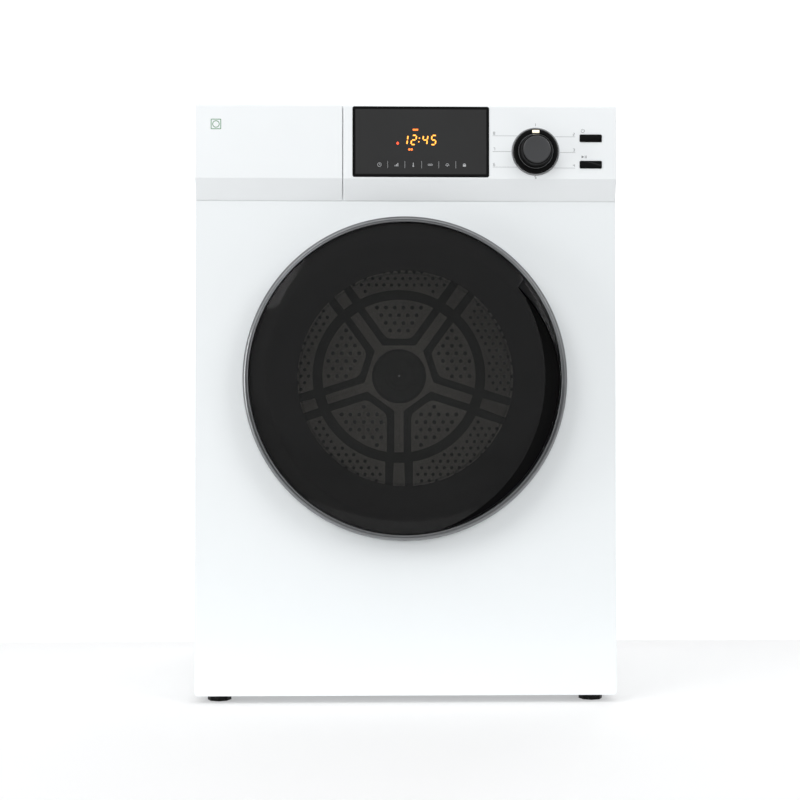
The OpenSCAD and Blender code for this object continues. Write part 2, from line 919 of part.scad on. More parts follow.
// Plate in front of the drum, with the throat that the door closes
bulkhead_r = 284;
module front_bulkhead() {
    color([0.60, 0.61, 0.62])
        difference() {
            union() {
                rod_y(0, drum_z, bulkhead_r, bulkhead_y, bulkhead_y + bulkhead_t, extra_fine);
                box([-290, bulkhead_y, 205], [290, bulkhead_y + bulkhead_t, drum_z - 60]);
                rod_y(door_x, door_z, throat_r + 2.5, front_y + sheet + 0.5, bulkhead_y, extra_fine);
                for (side = [-1, 1])
                    rod_y(side * roller_dist * sin(roller_angle), drum_z - roller_dist * cos(roller_angle),
                        10, bulkhead_y, bulkhead_y + 6, fine);
            }
            rod_y(door_x, door_z, throat_r, front_y, bulkhead_y + bulkhead_t + cut, extra_fine);
            for (side = [-1, 1])
                rod_y(side * roller_dist * sin(roller_angle), drum_z - roller_dist * cos(roller_angle),
                    axle_r, bulkhead_y - cut, bulkhead_y + 8, fine);
            box([door_x - filter_half - 1, filter_y - 1, 250],
                [door_x + filter_half + 1, filter_y + filter_t + 0.5, 330]);
        }
}

// Felt on the bulkhead against the drum's front edge
module front_felt() {
    color(felt_grey)
        ring_y(0, drum_z, drum_out_r, drum_r - 12, bulkhead_y + bulkhead_t, drum_front - gap, extra_fine);
}

// Two contact strips below the throat that feel how wet the laundry is
module moisture_sensor() {
    strip_half = 70;
    strip_r = 5;
    y0 = bulkhead_y + bulkhead_t;
    color(stainless)
        for (z = [238, 260]) {
            box([door_x - strip_half, y0, z - strip_r], [door_x + strip_half, y0 + 1.5, z + strip_r]);
            for (side = [-1, 1])
                rod_y(door_x + side * strip_half, z, strip_r, y0, y0 + 1.5);
        }
}

// Rollers under the drum's front edge
axle_r = 5;
module roller(side) {
    x = side * roller_dist * sin(roller_angle);
    z = drum_z - roller_dist * cos(roller_angle);
    color(dark_grey)
        ring_y(x, z, roller_r, axle_r + run_gap, drum_front + 8, drum_front + 30, fine);
}

module roller_left() {
    roller(-1);
}

module roller_right() {
    roller(1);
}

module roller_axles() {
    color(zinc)
        for (side = [-1, 1]) {
            x = side * roller_dist * sin(roller_angle);
            z = drum_z - roller_dist * cos(roller_angle);
            rod_y(x, z, axle_r, bulkhead_y, drum_front + 34, fine);
            rod_y(x, z, axle_r + 3, drum_front + 31, drum_front + 34, fine);
            rod_y(x, z, axle_r + 3, drum_front + 4.9, drum_front + 7, fine);
        }
}

// Belt round the drum and the motor's pulley
module belt_line(grow) {
    hull() {
        translate([0, drum_z])
            circle(r = drum_out_r + belt_gap + grow, $fn = extra_fine);
        translate([motor_x, motor_z])
            circle(r = pulley_r + belt_gap + grow, $fn = 32);
    }
}

module drum_belt() {
    color(near_black)
        along_y(belt_y - belt_w / 2, belt_y + belt_w / 2)
            difference() {
                belt_line(belt_t);
                belt_line(0);
            }
}

// ---- Air path ----

// Lint filter: an open frame with mesh slots and a grip, arched to follow the throat
module lint_filter() {
    y0 = filter_y;
    y1 = filter_y + filter_t;
    slot = 6;
    color([0.35, 0.36, 0.38])
        difference() {
            along_y(y0, y1)
                difference() {
                    translate([door_x - filter_half, filter_low])
                        square([2 * filter_half, 170]);
                    translate([door_x, door_z])
                        circle(r = throat_r - 1, $fn = extra_fine);
                }
            box([door_x - filter_half + 4, y0 + 2, filter_low + 4], [door_x + filter_half - 4, y1 - 2, 268]);
            for (i = [-6 : 6])
                box([door_x + i * 12 - slot / 2, y0 - cut, filter_low + 10],
                    [door_x + i * 12 + slot / 2, y1 + cut, 258]);
            box([door_x - 60, y0 + 3, 272], [door_x + 60, y1 - 3, 310]);
        }
}

// Walled duct from the filter down to the floor and back to the blower
module air_duct() {
    x0 = door_x - filter_half - 1;
    x1 = door_x + filter_half + 1;
    neck0 = filter_y - 0.5;
    neck1 = filter_y + filter_t + 0.5;
    turn_y = -160;
    color([0.55, 0.56, 0.57])
        difference() {
            union() {
                box([x0 - duct_wall, neck0 - duct_wall, duct_low], [x1 + duct_wall, bulkhead_y, 276]);
                box([x0 - duct_wall, neck0 - duct_wall, duct_low], [x1 + duct_wall, turn_y, duct_high]);
                box([x0 - duct_wall, turn_y - 2, duct_low], [duct_right, duct_rear, duct_high]);
            }
            box([x0, neck0, duct_low + duct_wall], [x1, neck1, 290]);
            box([x0, neck0, duct_low + duct_wall], [x1, turn_y - 2, duct_high - duct_wall]);
            box([x0, turn_y - 3, duct_low + duct_wall],
                [duct_right - duct_wall, duct_rear - duct_wall, duct_high - duct_wall]);
            box([duct_right - 2 * duct_wall, duct_rear - 50, 60],
                [duct_right + cut, duct_rear - 6, duct_high - 12]);
            rod_y(door_x, door_z, throat_r + 2.5, front_y, bulkhead_y + cut, extra_fine);
        }
}

// Straight pipe from the blower to the collar
module exhaust_pipe() {
    color(zinc)
        ring_y(motor_x, exhaust_z, exhaust_r, exhaust_r - exhaust_wall,
            scroll_y1, recess_floor - 8, extra_fine);
}

// Recessed collar that the exhaust hose slides over, with its flange on the rear panel
module exhaust_collar() {
    inner_r = exhaust_r - exhaust_wall;
    flange_r = recess_r + 6;
    color(mid_grey)
        turned_y(motor_x, exhaust_z, [
            [inner_r, recess_floor - 8], [exhaust_r, recess_floor - 8], [exhaust_r, recess_floor],
            [recess_r, recess_floor], [recess_r, rear_y], [flange_r, rear_y],
            [flange_r, rear_y + exhaust_wall], [recess_r - exhaust_wall, rear_y + exhaust_wall],
            [recess_r - exhaust_wall, recess_floor + exhaust_wall], [exhaust_r, recess_floor + exhaust_wall],
            [exhaust_r, spigot_end], [inner_r, spigot_end]
        ], extra_fine);
}

// Housing of the heater: air comes in through its floor and leaves through the rear panel
module heater_housing() {
    color(zinc)
        difference() {
            box(heater_low, heater_high);
            box(heater_low + [sheet, sheet, sheet], heater_high + [-sheet, cut, -sheet]);
            for (x = [heater_low[0] + 8 : 14 : heater_high[0] - 12])
                box([x, heater_low[1] + 10, heater_low[2] - cut],
                    [x + 8, heater_high[1] - 14, heater_low[2] + sheet + cut]);
        }
}

// Heating rods between two end plates
module heater_element() {
    plate = 1.5;
    x0 = heater_low[0] + sheet + gap;
    x1 = heater_high[0] - sheet - gap;
    color(copper) {
        for (x = [x0, x1 - plate])
            box([x, heater_low[1] + 6, heater_low[2] + 5],
                [x + plate, heater_high[1] - 12, heater_high[2] - 5]);
        for (y = [heater_low[1] + 16 : 16 : heater_high[1] - 20])
            for (z = [heater_low[2] + 14, heater_high[2] - 14])
                translate([x0 + plate / 2, y, z])
                    rotate([0, 90, 0])
                        cylinder(r = 3.2, h = x1 - x0 - plate, $fn = 24);
    }
}

// Round safety thermostat on the heater housing's left side, with two blade terminals
module heater_thermostat() {
    y = (heater_low[1] + heater_high[1]) / 2;
    z = (heater_low[2] + heater_high[2]) / 2;
    x = heater_low[0];
    color(near_black)
        translate([x - 6, y, z])
            rotate([0, 90, 0])
                cylinder(r = 8, h = 6, $fn = fine);
    color(stainless)
        for (side = [-1, 1])
            box([x - 14, y + side * 4 - 0.4, z - 3], [x - 5, y + side * 4 + 0.4, z + 3]);
}

// ---- Drive ----

// Motor: can, end bells and cradle on the base pan
motor_r = 52;
motor_front = belt_y + 20;
motor_rear = 46;
module motor_body() {
    low = foot_gap + 2;
    color(mid_grey)
        difference() {
            union() {
                ring_y(motor_x, motor_z, motor_r, 40, motor_front + 8, motor_rear - 8);
                rod_y(motor_x, motor_z, motor_r - 8, motor_front, motor_front + 9);
                rod_y(motor_x, motor_z, motor_r - 8, motor_rear - 9, motor_rear);
                for (y = [motor_front + 14, motor_rear - 22])
                    difference() {
                        box([motor_x - 46, y, low], [motor_x + 46, y + 8, motor_z - 20]);
                        rod_y(motor_x, motor_z, motor_r - 1, y - cut, y + 9);
                    }
            }
            rod_y(motor_x, motor_z, 4 + run_gap, motor_front - cut, motor_rear + cut);
            for (k = [0 : 5])
                translate([motor_x, 0, motor_z])
                    rotate([0, k * 60, 0])
                        rod_y(28, 0, 7, motor_front - cut, motor_rear + cut, 32);
        }
}

// Motor shaft with its rotor and the grooved belt pulley
module motor_shaft() {
    y0 = belt_y - 9;
    y1 = belt_y + 9;
    color(stainless) {
        rod_y(motor_x, motor_z, 4, y0 - 4, wheel_rear - 2);
        rod_y(motor_x, motor_z, 20, motor_front + 14, motor_rear - 14);
        turned_y(motor_x, motor_z, [
            [3, y0], [pulley_r + 4, y0], [pulley_r + 4, y0 + 2], [pulley_r, y0 + 4],
            [pulley_r, y1 - 4], [pulley_r + 4, y1 - 2], [pulley_r + 4, y1], [3, y1]
        ]);
    }
}

// Idler that keeps the belt tight, below its slack side
belt_far = drum_out_r - pulley_r;
belt_span = norm([motor_x, motor_z - drum_z]);
belt_angle = atan2(motor_z - drum_z, motor_x) - acos(belt_far / belt_span);
belt_normal = [cos(belt_angle), sin(belt_angle)];
belt_along = [-belt_normal[1], belt_normal[0]];
idler_back = 62;
idler_stand = pulley_r + belt_gap + belt_t + gap + idler_r;
idler_pos = [motor_x, motor_z] + belt_normal * idler_stand - belt_along * idler_back;
idler_pivot = idler_pos - belt_along * 48;
arm_y0 = belt_y + 7;
module idler_pulley() {
    color(dark_grey)
        difference() {
            rod_y(idler_pos[0], idler_pos[1], idler_r, belt_y - 6, belt_y + 6);
            rod_y(idler_pos[0], idler_pos[1], 4 + run_gap, belt_y - 7, belt_y + 7);
        }
}

module idler_arm() {
    color(zinc)
        difference() {
            union() {
                along_y(arm_y0, arm_y0 + 4)
                    hull() {
                        translate(idler_pivot)
                            circle(r = 10, $fn = 32);
                        translate(idler_pos)
                            circle(r = 8, $fn = 32);
                    }
                rod_y(idler_pos[0], idler_pos[1], 4, belt_y - 9, arm_y0 + 1);
                rod_y(idler_pos[0], idler_pos[1], 6, belt_y - 9, belt_y - 6 - gap);
                rod_y(idler_pivot[0], idler_pivot[1], 10, arm_y0, arm_y0 + 14);
            }
            rod_y(idler_pivot[0], idler_pivot[1], 5 + run_gap, arm_y0 - cut, arm_y0 + 15);
        }
}

// Blower: scroll, side inlet, rear outlet, foot and the post that the idler arm turns on
wheel_r = 58;
wheel_front = 72;
wheel_rear = 112;
scroll_r = 74;
scroll_z = motor_z + 1;
scroll_y0 = 62;
scroll_y1 = 122;
module blower_housing() {
    wall = 2;
    inlet_low = 58;
    inlet_high = 138;
    color([0.55, 0.56, 0.57])
        difference() {
            union() {
                rod_y(motor_x, scroll_z, scroll_r, scroll_y0, scroll_y1, extra_fine);
                box([duct_right, scroll_y0 + 18, inlet_low], [motor_x, scroll_y1, inlet_high]);
                box([motor_x - 50, scroll_y0, foot_gap + 2], [motor_x + 50, scroll_y0 + 8, 60]);
            }
            rod_y(motor_x, scroll_z, scroll_r - wall, scroll_y0 + wall, scroll_y1 - wall, extra_fine);
            box([duct_right - cut, scroll_y0 + 18 + wall, inlet_low + wall],
                [motor_x, scroll_y1 - wall, inlet_high - wall]);
            intersection() {
                rod_y(motor_x, exhaust_z, exhaust_r - exhaust_wall,
                    scroll_y1 - 2 * wall, scroll_y1 + cut, extra_fine);
                box([motor_x - exhaust_r, scroll_y1 - 10, motor_z + 16],
                    [motor_x + exhaust_r, scroll_y1 + 10, motor_z + scroll_r]);
            }
            rod_y(motor_x, motor_z, 9, scroll_y0 - cut, scroll_y0 + 3);
        }
    color(zinc)
        pivot_post();
}

// Post of the idler arm's pivot, with a collar on each side of the arm
module pivot_post() {
    rod_y(idler_pivot[0], idler_pivot[1], 5, arm_y0 - 2, scroll_y0 + 20);
    rod_y(idler_pivot[0], idler_pivot[1], 8, arm_y0 - 3, arm_y0 - gap);
    rod_y(idler_pivot[0], idler_pivot[1], 8, arm_y0 + 14 + gap, arm_y0 + 18);
}

// Bladed blower wheel on the motor's shaft
module blower_wheel() {
    blades = 24;
    color(dark_grey)
        difference() {
            union() {
                rod_y(motor_x, motor_z, wheel_r, wheel_front, wheel_front + 2);
                rod_y(motor_x, motor_z, 14, wheel_front, wheel_rear - 6);
                ring_y(motor_x, motor_z, wheel_r, wheel_r - 10, wheel_rear - 2, wheel_rear);
                for (k = [0 : blades - 1])
                    translate([motor_x, 0, motor_z])
                        rotate([0, k * 360 / blades, 0])
                            box([wheel_r - 10, wheel_front + 1, -0.8], [wheel_r - 0.5, wheel_rear - 1, 0.8]);
            }
            rod_y(motor_x, motor_z, 4, wheel_front - cut, wheel_rear);
        }
}

// ---- Feet ----

// Screw foot: moulded disc with eight flat sides and a steel stem
module foot(x, y) {
    disc_h = foot_gap - 0.4;
    translate([x, y, 0]) {
        color(near_black)
            difference() {
                cylinder(d = foot_d, h = disc_h, $fn = 8);
                translate([0, 0, disc_h + cut])
                    rotate([180, 0, 0])
                        linear_extrude(cut + 1.2)
                            difference() {
                                circle(d = foot_d + 4, $fn = fine);
                                circle(d = foot_d - 4, $fn = fine);
                            }
            }
        color(zinc)
            translate([0, 0, disc_h - 1])
                cylinder(r = stem_r, h = 30, $fn = fine);
    }
}

module foot_front_left() {
    foot(-foot_x, foot_front_y);
}

module foot_front_right() {
    foot(foot_x, foot_front_y);
}

module foot_rear_left() {
    foot(-foot_x, foot_rear_y);
}

module foot_rear_right() {
    foot(foot_x, foot_rear_y);
}

base_pan();
side_panel_left();
side_panel_right();
front_panel();
rear_panel();
rear_duct_cover();
top_cover();
top_rails();
terminal_cover();
cabinet_screws();
control_fascia();
fascia_end_cover();
display_window();
control_board();
dial_ring();
dial_knob();
power_button();
start_button();
door_ring();
door_window();
door_grip();
door_bowl();
door_inner_frame();
door_seal();
hinge_bracket();
hinge_pin();
door_strike();
latch_housing();
latch_jaw_upper();
latch_jaw_lower();
drum_shell();
drum_back();
drum_baffles();
drum_shaft();
shaft_bearing();
bearing_bracket();
front_bulkhead();
front_felt();
moisture_sensor();
roller_left();
roller_right();
roller_axles();
drum_belt();
lint_filter();
air_duct();
blower_housing();
blower_wheel();
exhaust_pipe();
exhaust_collar();
heater_housing();
heater_element();
heater_thermostat();
motor_body();
motor_shaft();
idler_pulley();
idler_arm();
foot_front_left();
foot_front_right();
foot_rear_left();
foot_rear_right();
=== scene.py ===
import json
import math

import bmesh
import bpy
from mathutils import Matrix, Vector


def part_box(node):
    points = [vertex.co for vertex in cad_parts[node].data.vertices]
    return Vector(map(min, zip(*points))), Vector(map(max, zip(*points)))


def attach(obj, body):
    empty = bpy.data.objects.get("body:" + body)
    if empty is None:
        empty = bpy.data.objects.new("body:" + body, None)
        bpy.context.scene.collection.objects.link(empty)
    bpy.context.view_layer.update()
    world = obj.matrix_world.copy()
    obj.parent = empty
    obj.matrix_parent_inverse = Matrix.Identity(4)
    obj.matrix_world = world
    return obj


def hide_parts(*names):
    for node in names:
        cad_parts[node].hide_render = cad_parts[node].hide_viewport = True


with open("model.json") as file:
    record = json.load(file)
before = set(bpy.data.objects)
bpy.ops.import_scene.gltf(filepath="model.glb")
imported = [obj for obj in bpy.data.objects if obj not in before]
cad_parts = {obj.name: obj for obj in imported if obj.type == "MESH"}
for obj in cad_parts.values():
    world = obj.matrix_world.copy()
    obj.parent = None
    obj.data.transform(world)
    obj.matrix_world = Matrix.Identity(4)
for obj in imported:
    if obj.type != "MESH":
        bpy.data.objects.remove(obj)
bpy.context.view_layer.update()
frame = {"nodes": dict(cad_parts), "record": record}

MM = 0.001

# Levels and places that the CAD nodes give, in metres
FASCIA_LOW, FASCIA_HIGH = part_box("control_fascia")
COVER_LOW, COVER_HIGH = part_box("fascia_end_cover")
RING_LOW, RING_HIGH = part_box("door_ring")
GLASS_LOW, GLASS_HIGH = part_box("door_window")
BOWL_LOW, BOWL_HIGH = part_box("door_bowl")
BACK_LOW, BACK_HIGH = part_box("drum_back")
SHELL_LOW, SHELL_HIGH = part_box("drum_shell")
WINDOW_LOW, WINDOW_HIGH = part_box("display_window")
DIAL_LOW, DIAL_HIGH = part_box("dial_knob")
POWER_LOW, POWER_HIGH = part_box("power_button")
START_LOW, START_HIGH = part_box("start_button")
FRONT_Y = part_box("front_panel")[0].y
FACE_Y = FASCIA_LOW.y
DOOR = Vector(((RING_LOW.x + RING_HIGH.x) / 2, 0, (RING_LOW.z + RING_HIGH.z) / 2))
DOOR_R = (RING_HIGH.x - RING_LOW.x) / 2
DRUM = Vector((0, 0, (SHELL_LOW.z + SHELL_HIGH.z) / 2))
DIAL = Vector(((DIAL_LOW.x + DIAL_HIGH.x) / 2, 0, (DIAL_LOW.z + DIAL_HIGH.z) / 2))
DIAL_R = (DIAL_HIGH.x - DIAL_LOW.x) / 2


# ---------------------------------------------------------------- materials

def link(tree, source, target):
    """Joins an output socket to an input socket."""
    tree.links.new(source, target)


def new_material(name):
    """An empty node material with a Principled shader; returns the material, its tree and the shader."""
    material = bpy.data.materials.new(name)
    material.use_nodes = True
    tree = material.node_tree
    return material, tree, tree.nodes["Principled BSDF"]


def mapped(tree, scale=(1, 1, 1)):
    """Object coordinates, stretched by scale."""
    where = tree.nodes.new("ShaderNodeTexCoord")
    mapping = tree.nodes.new("ShaderNodeMapping")
    mapping.inputs["Scale"].default_value = scale
    link(tree, where.outputs["Object"], mapping.inputs["Vector"])
    return mapping.outputs["Vector"]


def noise(tree, vector, scale, detail=3.0, rough=0.5):
    """Noise values from 0 to 1."""
    node = tree.nodes.new("ShaderNodeTexNoise")
    node.inputs["Scale"].default_value = scale
    node.inputs["Detail"].default_value = detail
    node.inputs["Roughness"].default_value = rough
    link(tree, vector, node.inputs["Vector"])
    return node.outputs["Fac"]


def ramp(tree, source, stops):
    """A colour ramp with stops of (place, colour)."""
    node = tree.nodes.new("ShaderNodeValToRGB")
    points = node.color_ramp.elements
    while len(points) < len(stops):
        points.new(0.5)
    for point, (place, colour) in zip(points, stops):
        point.position = place
        point.color = (*colour, 1)
    link(tree, source, node.inputs["Fac"])
    return node.outputs["Color"]


def spread(tree, source, low, high):
    """Maps a 0 to 1 value to the range from low to high."""
    node = tree.nodes.new("ShaderNodeMapRange")
    node.inputs["To Min"].default_value = low
    node.inputs["To Max"].default_value = high
    link(tree, source, node.inputs["Value"])
    return node.outputs["Result"]


def bump(tree, shader, height, distance):
    """Relief of the given depth, in metres."""
    node = tree.nodes.new("ShaderNodeBump")
    node.inputs["Strength"].default_value = 1.0
    node.inputs["Distance"].default_value = distance
    link(tree, height, node.inputs["Height"])
    link(tree, node.outputs["Normal"], shader.inputs["Normal"])


def shade(colour, factor):
    """A colour made lighter or darker."""
    return tuple(min(1.0, c * factor) for c in colour)


def moulded(name, colour, rough=0.4, grain=900.0, depth=0.00002, vary=0.06, coat=0.0, metal=0.0, gloss=0.5):
    """Moulded plastic, paint or cast metal: a fine grain, slow colour drift and uneven gloss."""
    material, tree, shader = new_material(name)
    vector = mapped(tree)
    slow = noise(tree, vector, 9.0, 2.0)
    fine = noise(tree, vector, grain, 2.0)
    link(tree, ramp(tree, slow, [(0.3, shade(colour, 1 - vary)), (0.7, shade(colour, 1 + vary))]),
         shader.inputs["Base Color"])
    drift = min(0.12, 2 * vary)
    link(tree, spread(tree, slow, rough * (1 - drift), rough * (1 + drift)), shader.inputs["Roughness"])
    bump(tree, shader, fine, depth)
    shader.inputs["Metallic"].default_value = metal
    shader.inputs["Specular IOR Level"].default_value = gloss
    shader.inputs["Coat Weight"].default_value = coat
    shader.inputs["Coat Roughness"].default_value = 0.08
    return material


def brushed(name, colour, stretch, rough=0.3, vary=0.12, depth=0.00001):
    """Brushed or rolled metal with fine lines along one direction."""
    material, tree, shader = new_material(name)
    lines = noise(tree, mapped(tree, stretch), 60.0, 3.0)
    slow = noise(tree, mapped(tree), 12.0, 2.0)
    link(tree, ramp(tree, lines, [(0.25, shade(colour, 1 - vary)), (0.75, shade(colour, 1 + vary))]),
         shader.inputs["Base Color"])
    link(tree, spread(tree, slow, rough * 0.8, rough * 1.25), shader.inputs["Roughness"])
    bump(tree, shader, lines, depth)
    shader.inputs["Metallic"].default_value = 1.0
    return material


def enamel(name, colour, rough=0.28):
    """Powder-coated sheet: a very fine orange peel under a clear gloss."""
    return moulded(name, colour, rough, grain=420.0, depth=0.000012, vary=0.003, coat=0.25)


def felt(name, colour):
    """Felted fibre: rough, with a strong small-scale bump and a sheen."""
    material, tree, shader = new_material(name)
    vector = mapped(tree)
    fibre = noise(tree, vector, 700.0, 6.0, 0.7)
    link(tree, ramp(tree, fibre, [(0.3, shade(colour, 0.7)), (0.7, shade(colour, 1.2))]),
         shader.inputs["Base Color"])
    bump(tree, shader, fibre, 0.0004)
    shader.inputs["Roughness"].default_value = 0.95
    shader.inputs["Sheen Weight"].default_value = 0.3
    return material


def see_through(name, colour, alpha, rough=0.05, gloss=0.5):
    """Tinted glossy glass or plastic that shows what is behind it."""
    material, tree, shader = new_material(name)
    slow = noise(tree, mapped(tree), 5.0, 2.0)
    link(tree, ramp(tree, slow, [(0.3, shade(colour, 0.94)), (0.7, shade(colour, 1.06))]),
         shader.inputs["Base Color"])
    link(tree, spread(tree, slow, rough * 0.8, rough * 1.2), shader.inputs["Roughness"])
    shader.inputs["Alpha"].default_value = alpha
    shader.inputs["Specular IOR Level"].default_value = gloss
    shader.inputs["IOR"].default_value = 1.5
    return material


def lit(name, colour, power):
    """A small lamp or display segment with a slightly uneven glow."""
    material, tree, shader = new_material(name)
    glow = noise(tree, mapped(tree), 500.0, 1.0)
    colours = ramp(tree, glow, [(0.3, shade(colour, 0.85)), (0.7, colour)])
    link(tree, colours, shader.inputs["Base Color"])
    link(tree, colours, shader.inputs["Emission Color"])
    shader.inputs["Emission Strength"].default_value = power
    shader.inputs["Roughness"].default_value = 0.35
    return material


WHITE = (0.86, 0.89, 0.90)
FINISH = {
    "white_enamel": enamel("white_enamel", WHITE),
    "white_plastic": moulded("white_plastic", (0.88, 0.905, 0.915), 0.36, 700.0, 0.000008, 0.01),
    "zinc_steel": moulded("zinc_steel", (0.52, 0.54, 0.56), 0.42, 60.0, 0.00001, 0.045, metal=0.85),
    "drum_steel": brushed("drum_steel", (0.50, 0.49, 0.46), (1, 0.05, 1), 0.34),
    "drum_sheet": moulded("drum_sheet", (0.37, 0.35, 0.315), 0.42, 500.0, 0.000006, 0.04, metal=0.2),
    # Painted shade: near-black colour for the drum's recessed back and the gaps round its raised sheets,
    # which are the same steel
    "drum_channel": moulded("drum_channel", (0.075, 0.077, 0.071), 0.55, 600.0, 0.00001, 0.05, gloss=0.3),
    "satin_trim": brushed("satin_trim", (0.225, 0.23, 0.235), (1, 0.08, 1), 0.33, 0.05),
    "bearing_steel": brushed("bearing_steel", (0.56, 0.57, 0.58), (1, 0.05, 1), 0.22),
    "smoked_glass": see_through("smoked_glass", (0.012, 0.012, 0.012), 0.30, 0.05, 0.25),
    "bowl_glass": see_through("bowl_glass", (0.20, 0.205, 0.205), 0.08, 0.08, 0.3),
    "display_glass": moulded("display_glass", (0.028, 0.028, 0.028), 0.18, 300.0, 0.000002, 0.05),
    "black_gloss": moulded("black_gloss", (0.005, 0.005, 0.005), 0.30, 900.0, 0.000006, 0.08, gloss=0.12),
    "black_border": moulded("black_border", (0.028, 0.028, 0.028), 0.65, 700.0, 0.0000004, 0.05, gloss=0.2),
    "black_plastic": moulded("black_plastic", (0.005, 0.005, 0.005), 0.46, 800.0, 0.00002, 0.10, gloss=0.15),
    "dark_plastic": moulded("dark_plastic", (0.045, 0.045, 0.048), 0.50, 700.0, 0.000012, 0.10, gloss=0.35),
    "grey_plastic": moulded("grey_plastic", (0.27, 0.275, 0.28), 0.42, 700.0, 0.00002, 0.07),
    "light_plastic": moulded("light_plastic", (0.36, 0.37, 0.38), 0.45, 600.0, 0.00003, 0.06),
    "grey_felt": felt("grey_felt", (0.16, 0.16, 0.15)),
    "black_rubber": moulded("black_rubber", (0.012, 0.012, 0.012), 0.62, 500.0, 0.00004, 0.12),
    "heater_alloy": brushed("heater_alloy", (0.26, 0.19, 0.15), (0.05, 1, 1), 0.34),
    "circuit_board": moulded("circuit_board", (0.015, 0.10, 0.045), 0.40, 250.0, 0.00003, 0.15),
    "motor_grey": moulded("motor_grey", (0.24, 0.25, 0.26), 0.40, 500.0, 0.00003, 0.06),
    "dial_cap": moulded("dial_cap", (0.052, 0.053, 0.055), 0.24, 700.0, 0.000004, 0.10, 0.2),
    "printed_green": moulded("printed_green", (0.015, 0.20, 0.045), 0.50, 900.0, 0.000002, 0.05),
    "printed_grey": moulded("printed_grey", (0.20, 0.205, 0.21), 0.50, 900.0, 0.000002, 0.05),
    "printed_pale": moulded("printed_pale", (0.45, 0.46, 0.47), 0.50, 900.0, 0.000002, 0.05),
    "amber_light": lit("amber_light", (1.0, 0.36, 0.05), 2.2),
    "red_light": lit("red_light", (1.0, 0.08, 0.03), 1.6),
    "orange_light": lit("orange_light", (1.0, 0.19, 0.03), 1.5),
    "cream_light": lit("cream_light", (0.92, 0.86, 0.68), 0.75),
}
SLOT_OF = {part["node"]: part["material_slot"] for part in frame["record"]["subparts"]}
BODY_OF = {node: body for body, nodes in frame["record"]["behaviour"]["bodies"].items() for node in nodes}


def dress(piece, finish):
    """Gives a piece one finish."""
    piece.data.materials.clear()
    piece.data.materials.append(FINISH[finish])
    return piece


for name, node in frame["nodes"].items():
    for index in range(len(node.material_slots)):
        node.material_slots[index].material = FINISH[SLOT_OF[name]]


# ---------------------------------------------------------------- mesh helpers

def add_piece(name, bm, finish, body, smooth=True, replaces=()):
    """Turns a bmesh into a piece that rides on a body."""
    mesh = bpy.data.meshes.new(name)
    bmesh.ops.recalc_face_normals(bm, faces=bm.faces[:])
    bm.to_mesh(mesh)
    bm.free()
    for face in mesh.polygons:
        face.use_smooth = smooth
    piece = bpy.data.objects.new(name, mesh)
    bpy.context.collection.objects.link(piece)
    dress(piece, finish)
    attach(piece, body)
    if replaces:
        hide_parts(*replaces)
    return piece


def apply_modifiers(piece):
    """Replaces the mesh by its modified result."""
    graph = bpy.context.evaluated_depsgraph_get()
    mesh = bpy.data.meshes.new_from_object(piece.evaluated_get(graph))
    piece.modifiers.clear()
    piece.data = mesh


def bevel(piece, width, segments=3, angle=35):
    """Rounds a piece's sharp edges and keeps its flat faces flat."""
    modifier = piece.modifiers.new("bevel", "BEVEL")
    modifier.width = width
    modifier.segments = segments
    modifier.limit_method = "ANGLE"
    modifier.angle_limit = math.radians(angle)
    modifier.harden_normals = True
    modifier.use_clamp_overlap = False
    modifier.miter_outer = "MITER_ARC"
    return piece


def cut_away(piece, cutter):
    """Subtracts one mesh from another, and deletes the cutter."""
    modifier = piece.modifiers.new("cut", "BOOLEAN")
    modifier.object = cutter
    modifier.operation = "DIFFERENCE"
    modifier.solver = "EXACT"
    apply_modifiers(piece)
    bpy.data.objects.remove(cutter)


def softened(node, width):
    """A copy of a CAD node with rounded edges, in that node's finish, which stands for it."""
    source = frame["nodes"][node]
    bm = bmesh.new()
    bm.from_mesh(source.data)
    bmesh.ops.remove_doubles(bm, verts=bm.verts[:], dist=0.00001)
    bmesh.ops.dissolve_limit(bm, angle_limit=math.radians(0.4), verts=bm.verts[:], edges=bm.edges[:])
    bmesh.ops.triangulate(bm, faces=[face for face in bm.faces if len(face.verts) > 30])
    slot = SLOT_OF[node]
    return bevel(add_piece(node + "_soft", bm, slot, BODY_OF[node], replaces=[node]), width)


def lathe(name, profile, centre, finish, body, segments=192, replaces=()):
    """Turns a closed outline of (radius, y) points about an axis along Y."""
    bm = bmesh.new()
    rings = []
    for radius, y in profile:
        if radius < 1e-7:
            rings.append([bm.verts.new((centre.x, y, centre.z))] * segments)
            continue
        ring = []
        for k in range(segments):
            a = 2 * math.pi * k / segments
            ring.append(bm.verts.new((centre.x + radius * math.cos(a), y, centre.z + radius * math.sin(a))))
        rings.append(ring)
    for first, second in zip(rings, rings[1:] + rings[:1]):
        for k in range(segments):
            n = (k + 1) % segments
            corners = list(dict.fromkeys([first[k], first[n], second[n], second[k]]))
            if len(corners) > 2:
                bm.faces.new(corners)
    return add_piece(name, bm, finish, body, replaces=replaces)


def prism(bm, outline, y0, y1):
    """Adds a flat outline of (x, z) points, extruded from y0 to y1."""
    near = [bm.verts.new((x, y0, z)) for x, z in outline]
    far = [bm.verts.new((x, y1, z)) for x, z in outline]
    bm.faces.new(near)
    bm.faces.new(far[::-1])
    for k in range(len(outline)):
        n = (k + 1) % len(outline)
        bm.faces.new([near[k], far[k], far[n], near[n]])


def rounded(x0, x1, z0, z1, r, steps=6):
    """Outline of a rectangle with round corners."""
    points = []
    centres = [(x1 - r, z1 - r), (x0 + r, z1 - r), (x0 + r, z0 + r), (x1 - r, z0 + r)]
    for (cx, cz), start in zip(centres, (0, 90, 180, 270)):
        for k in range(steps + 1):
            a = math.radians(start + 90 * k / steps)
            points.append((cx + r * math.cos(a), cz + r * math.sin(a)))
    return points


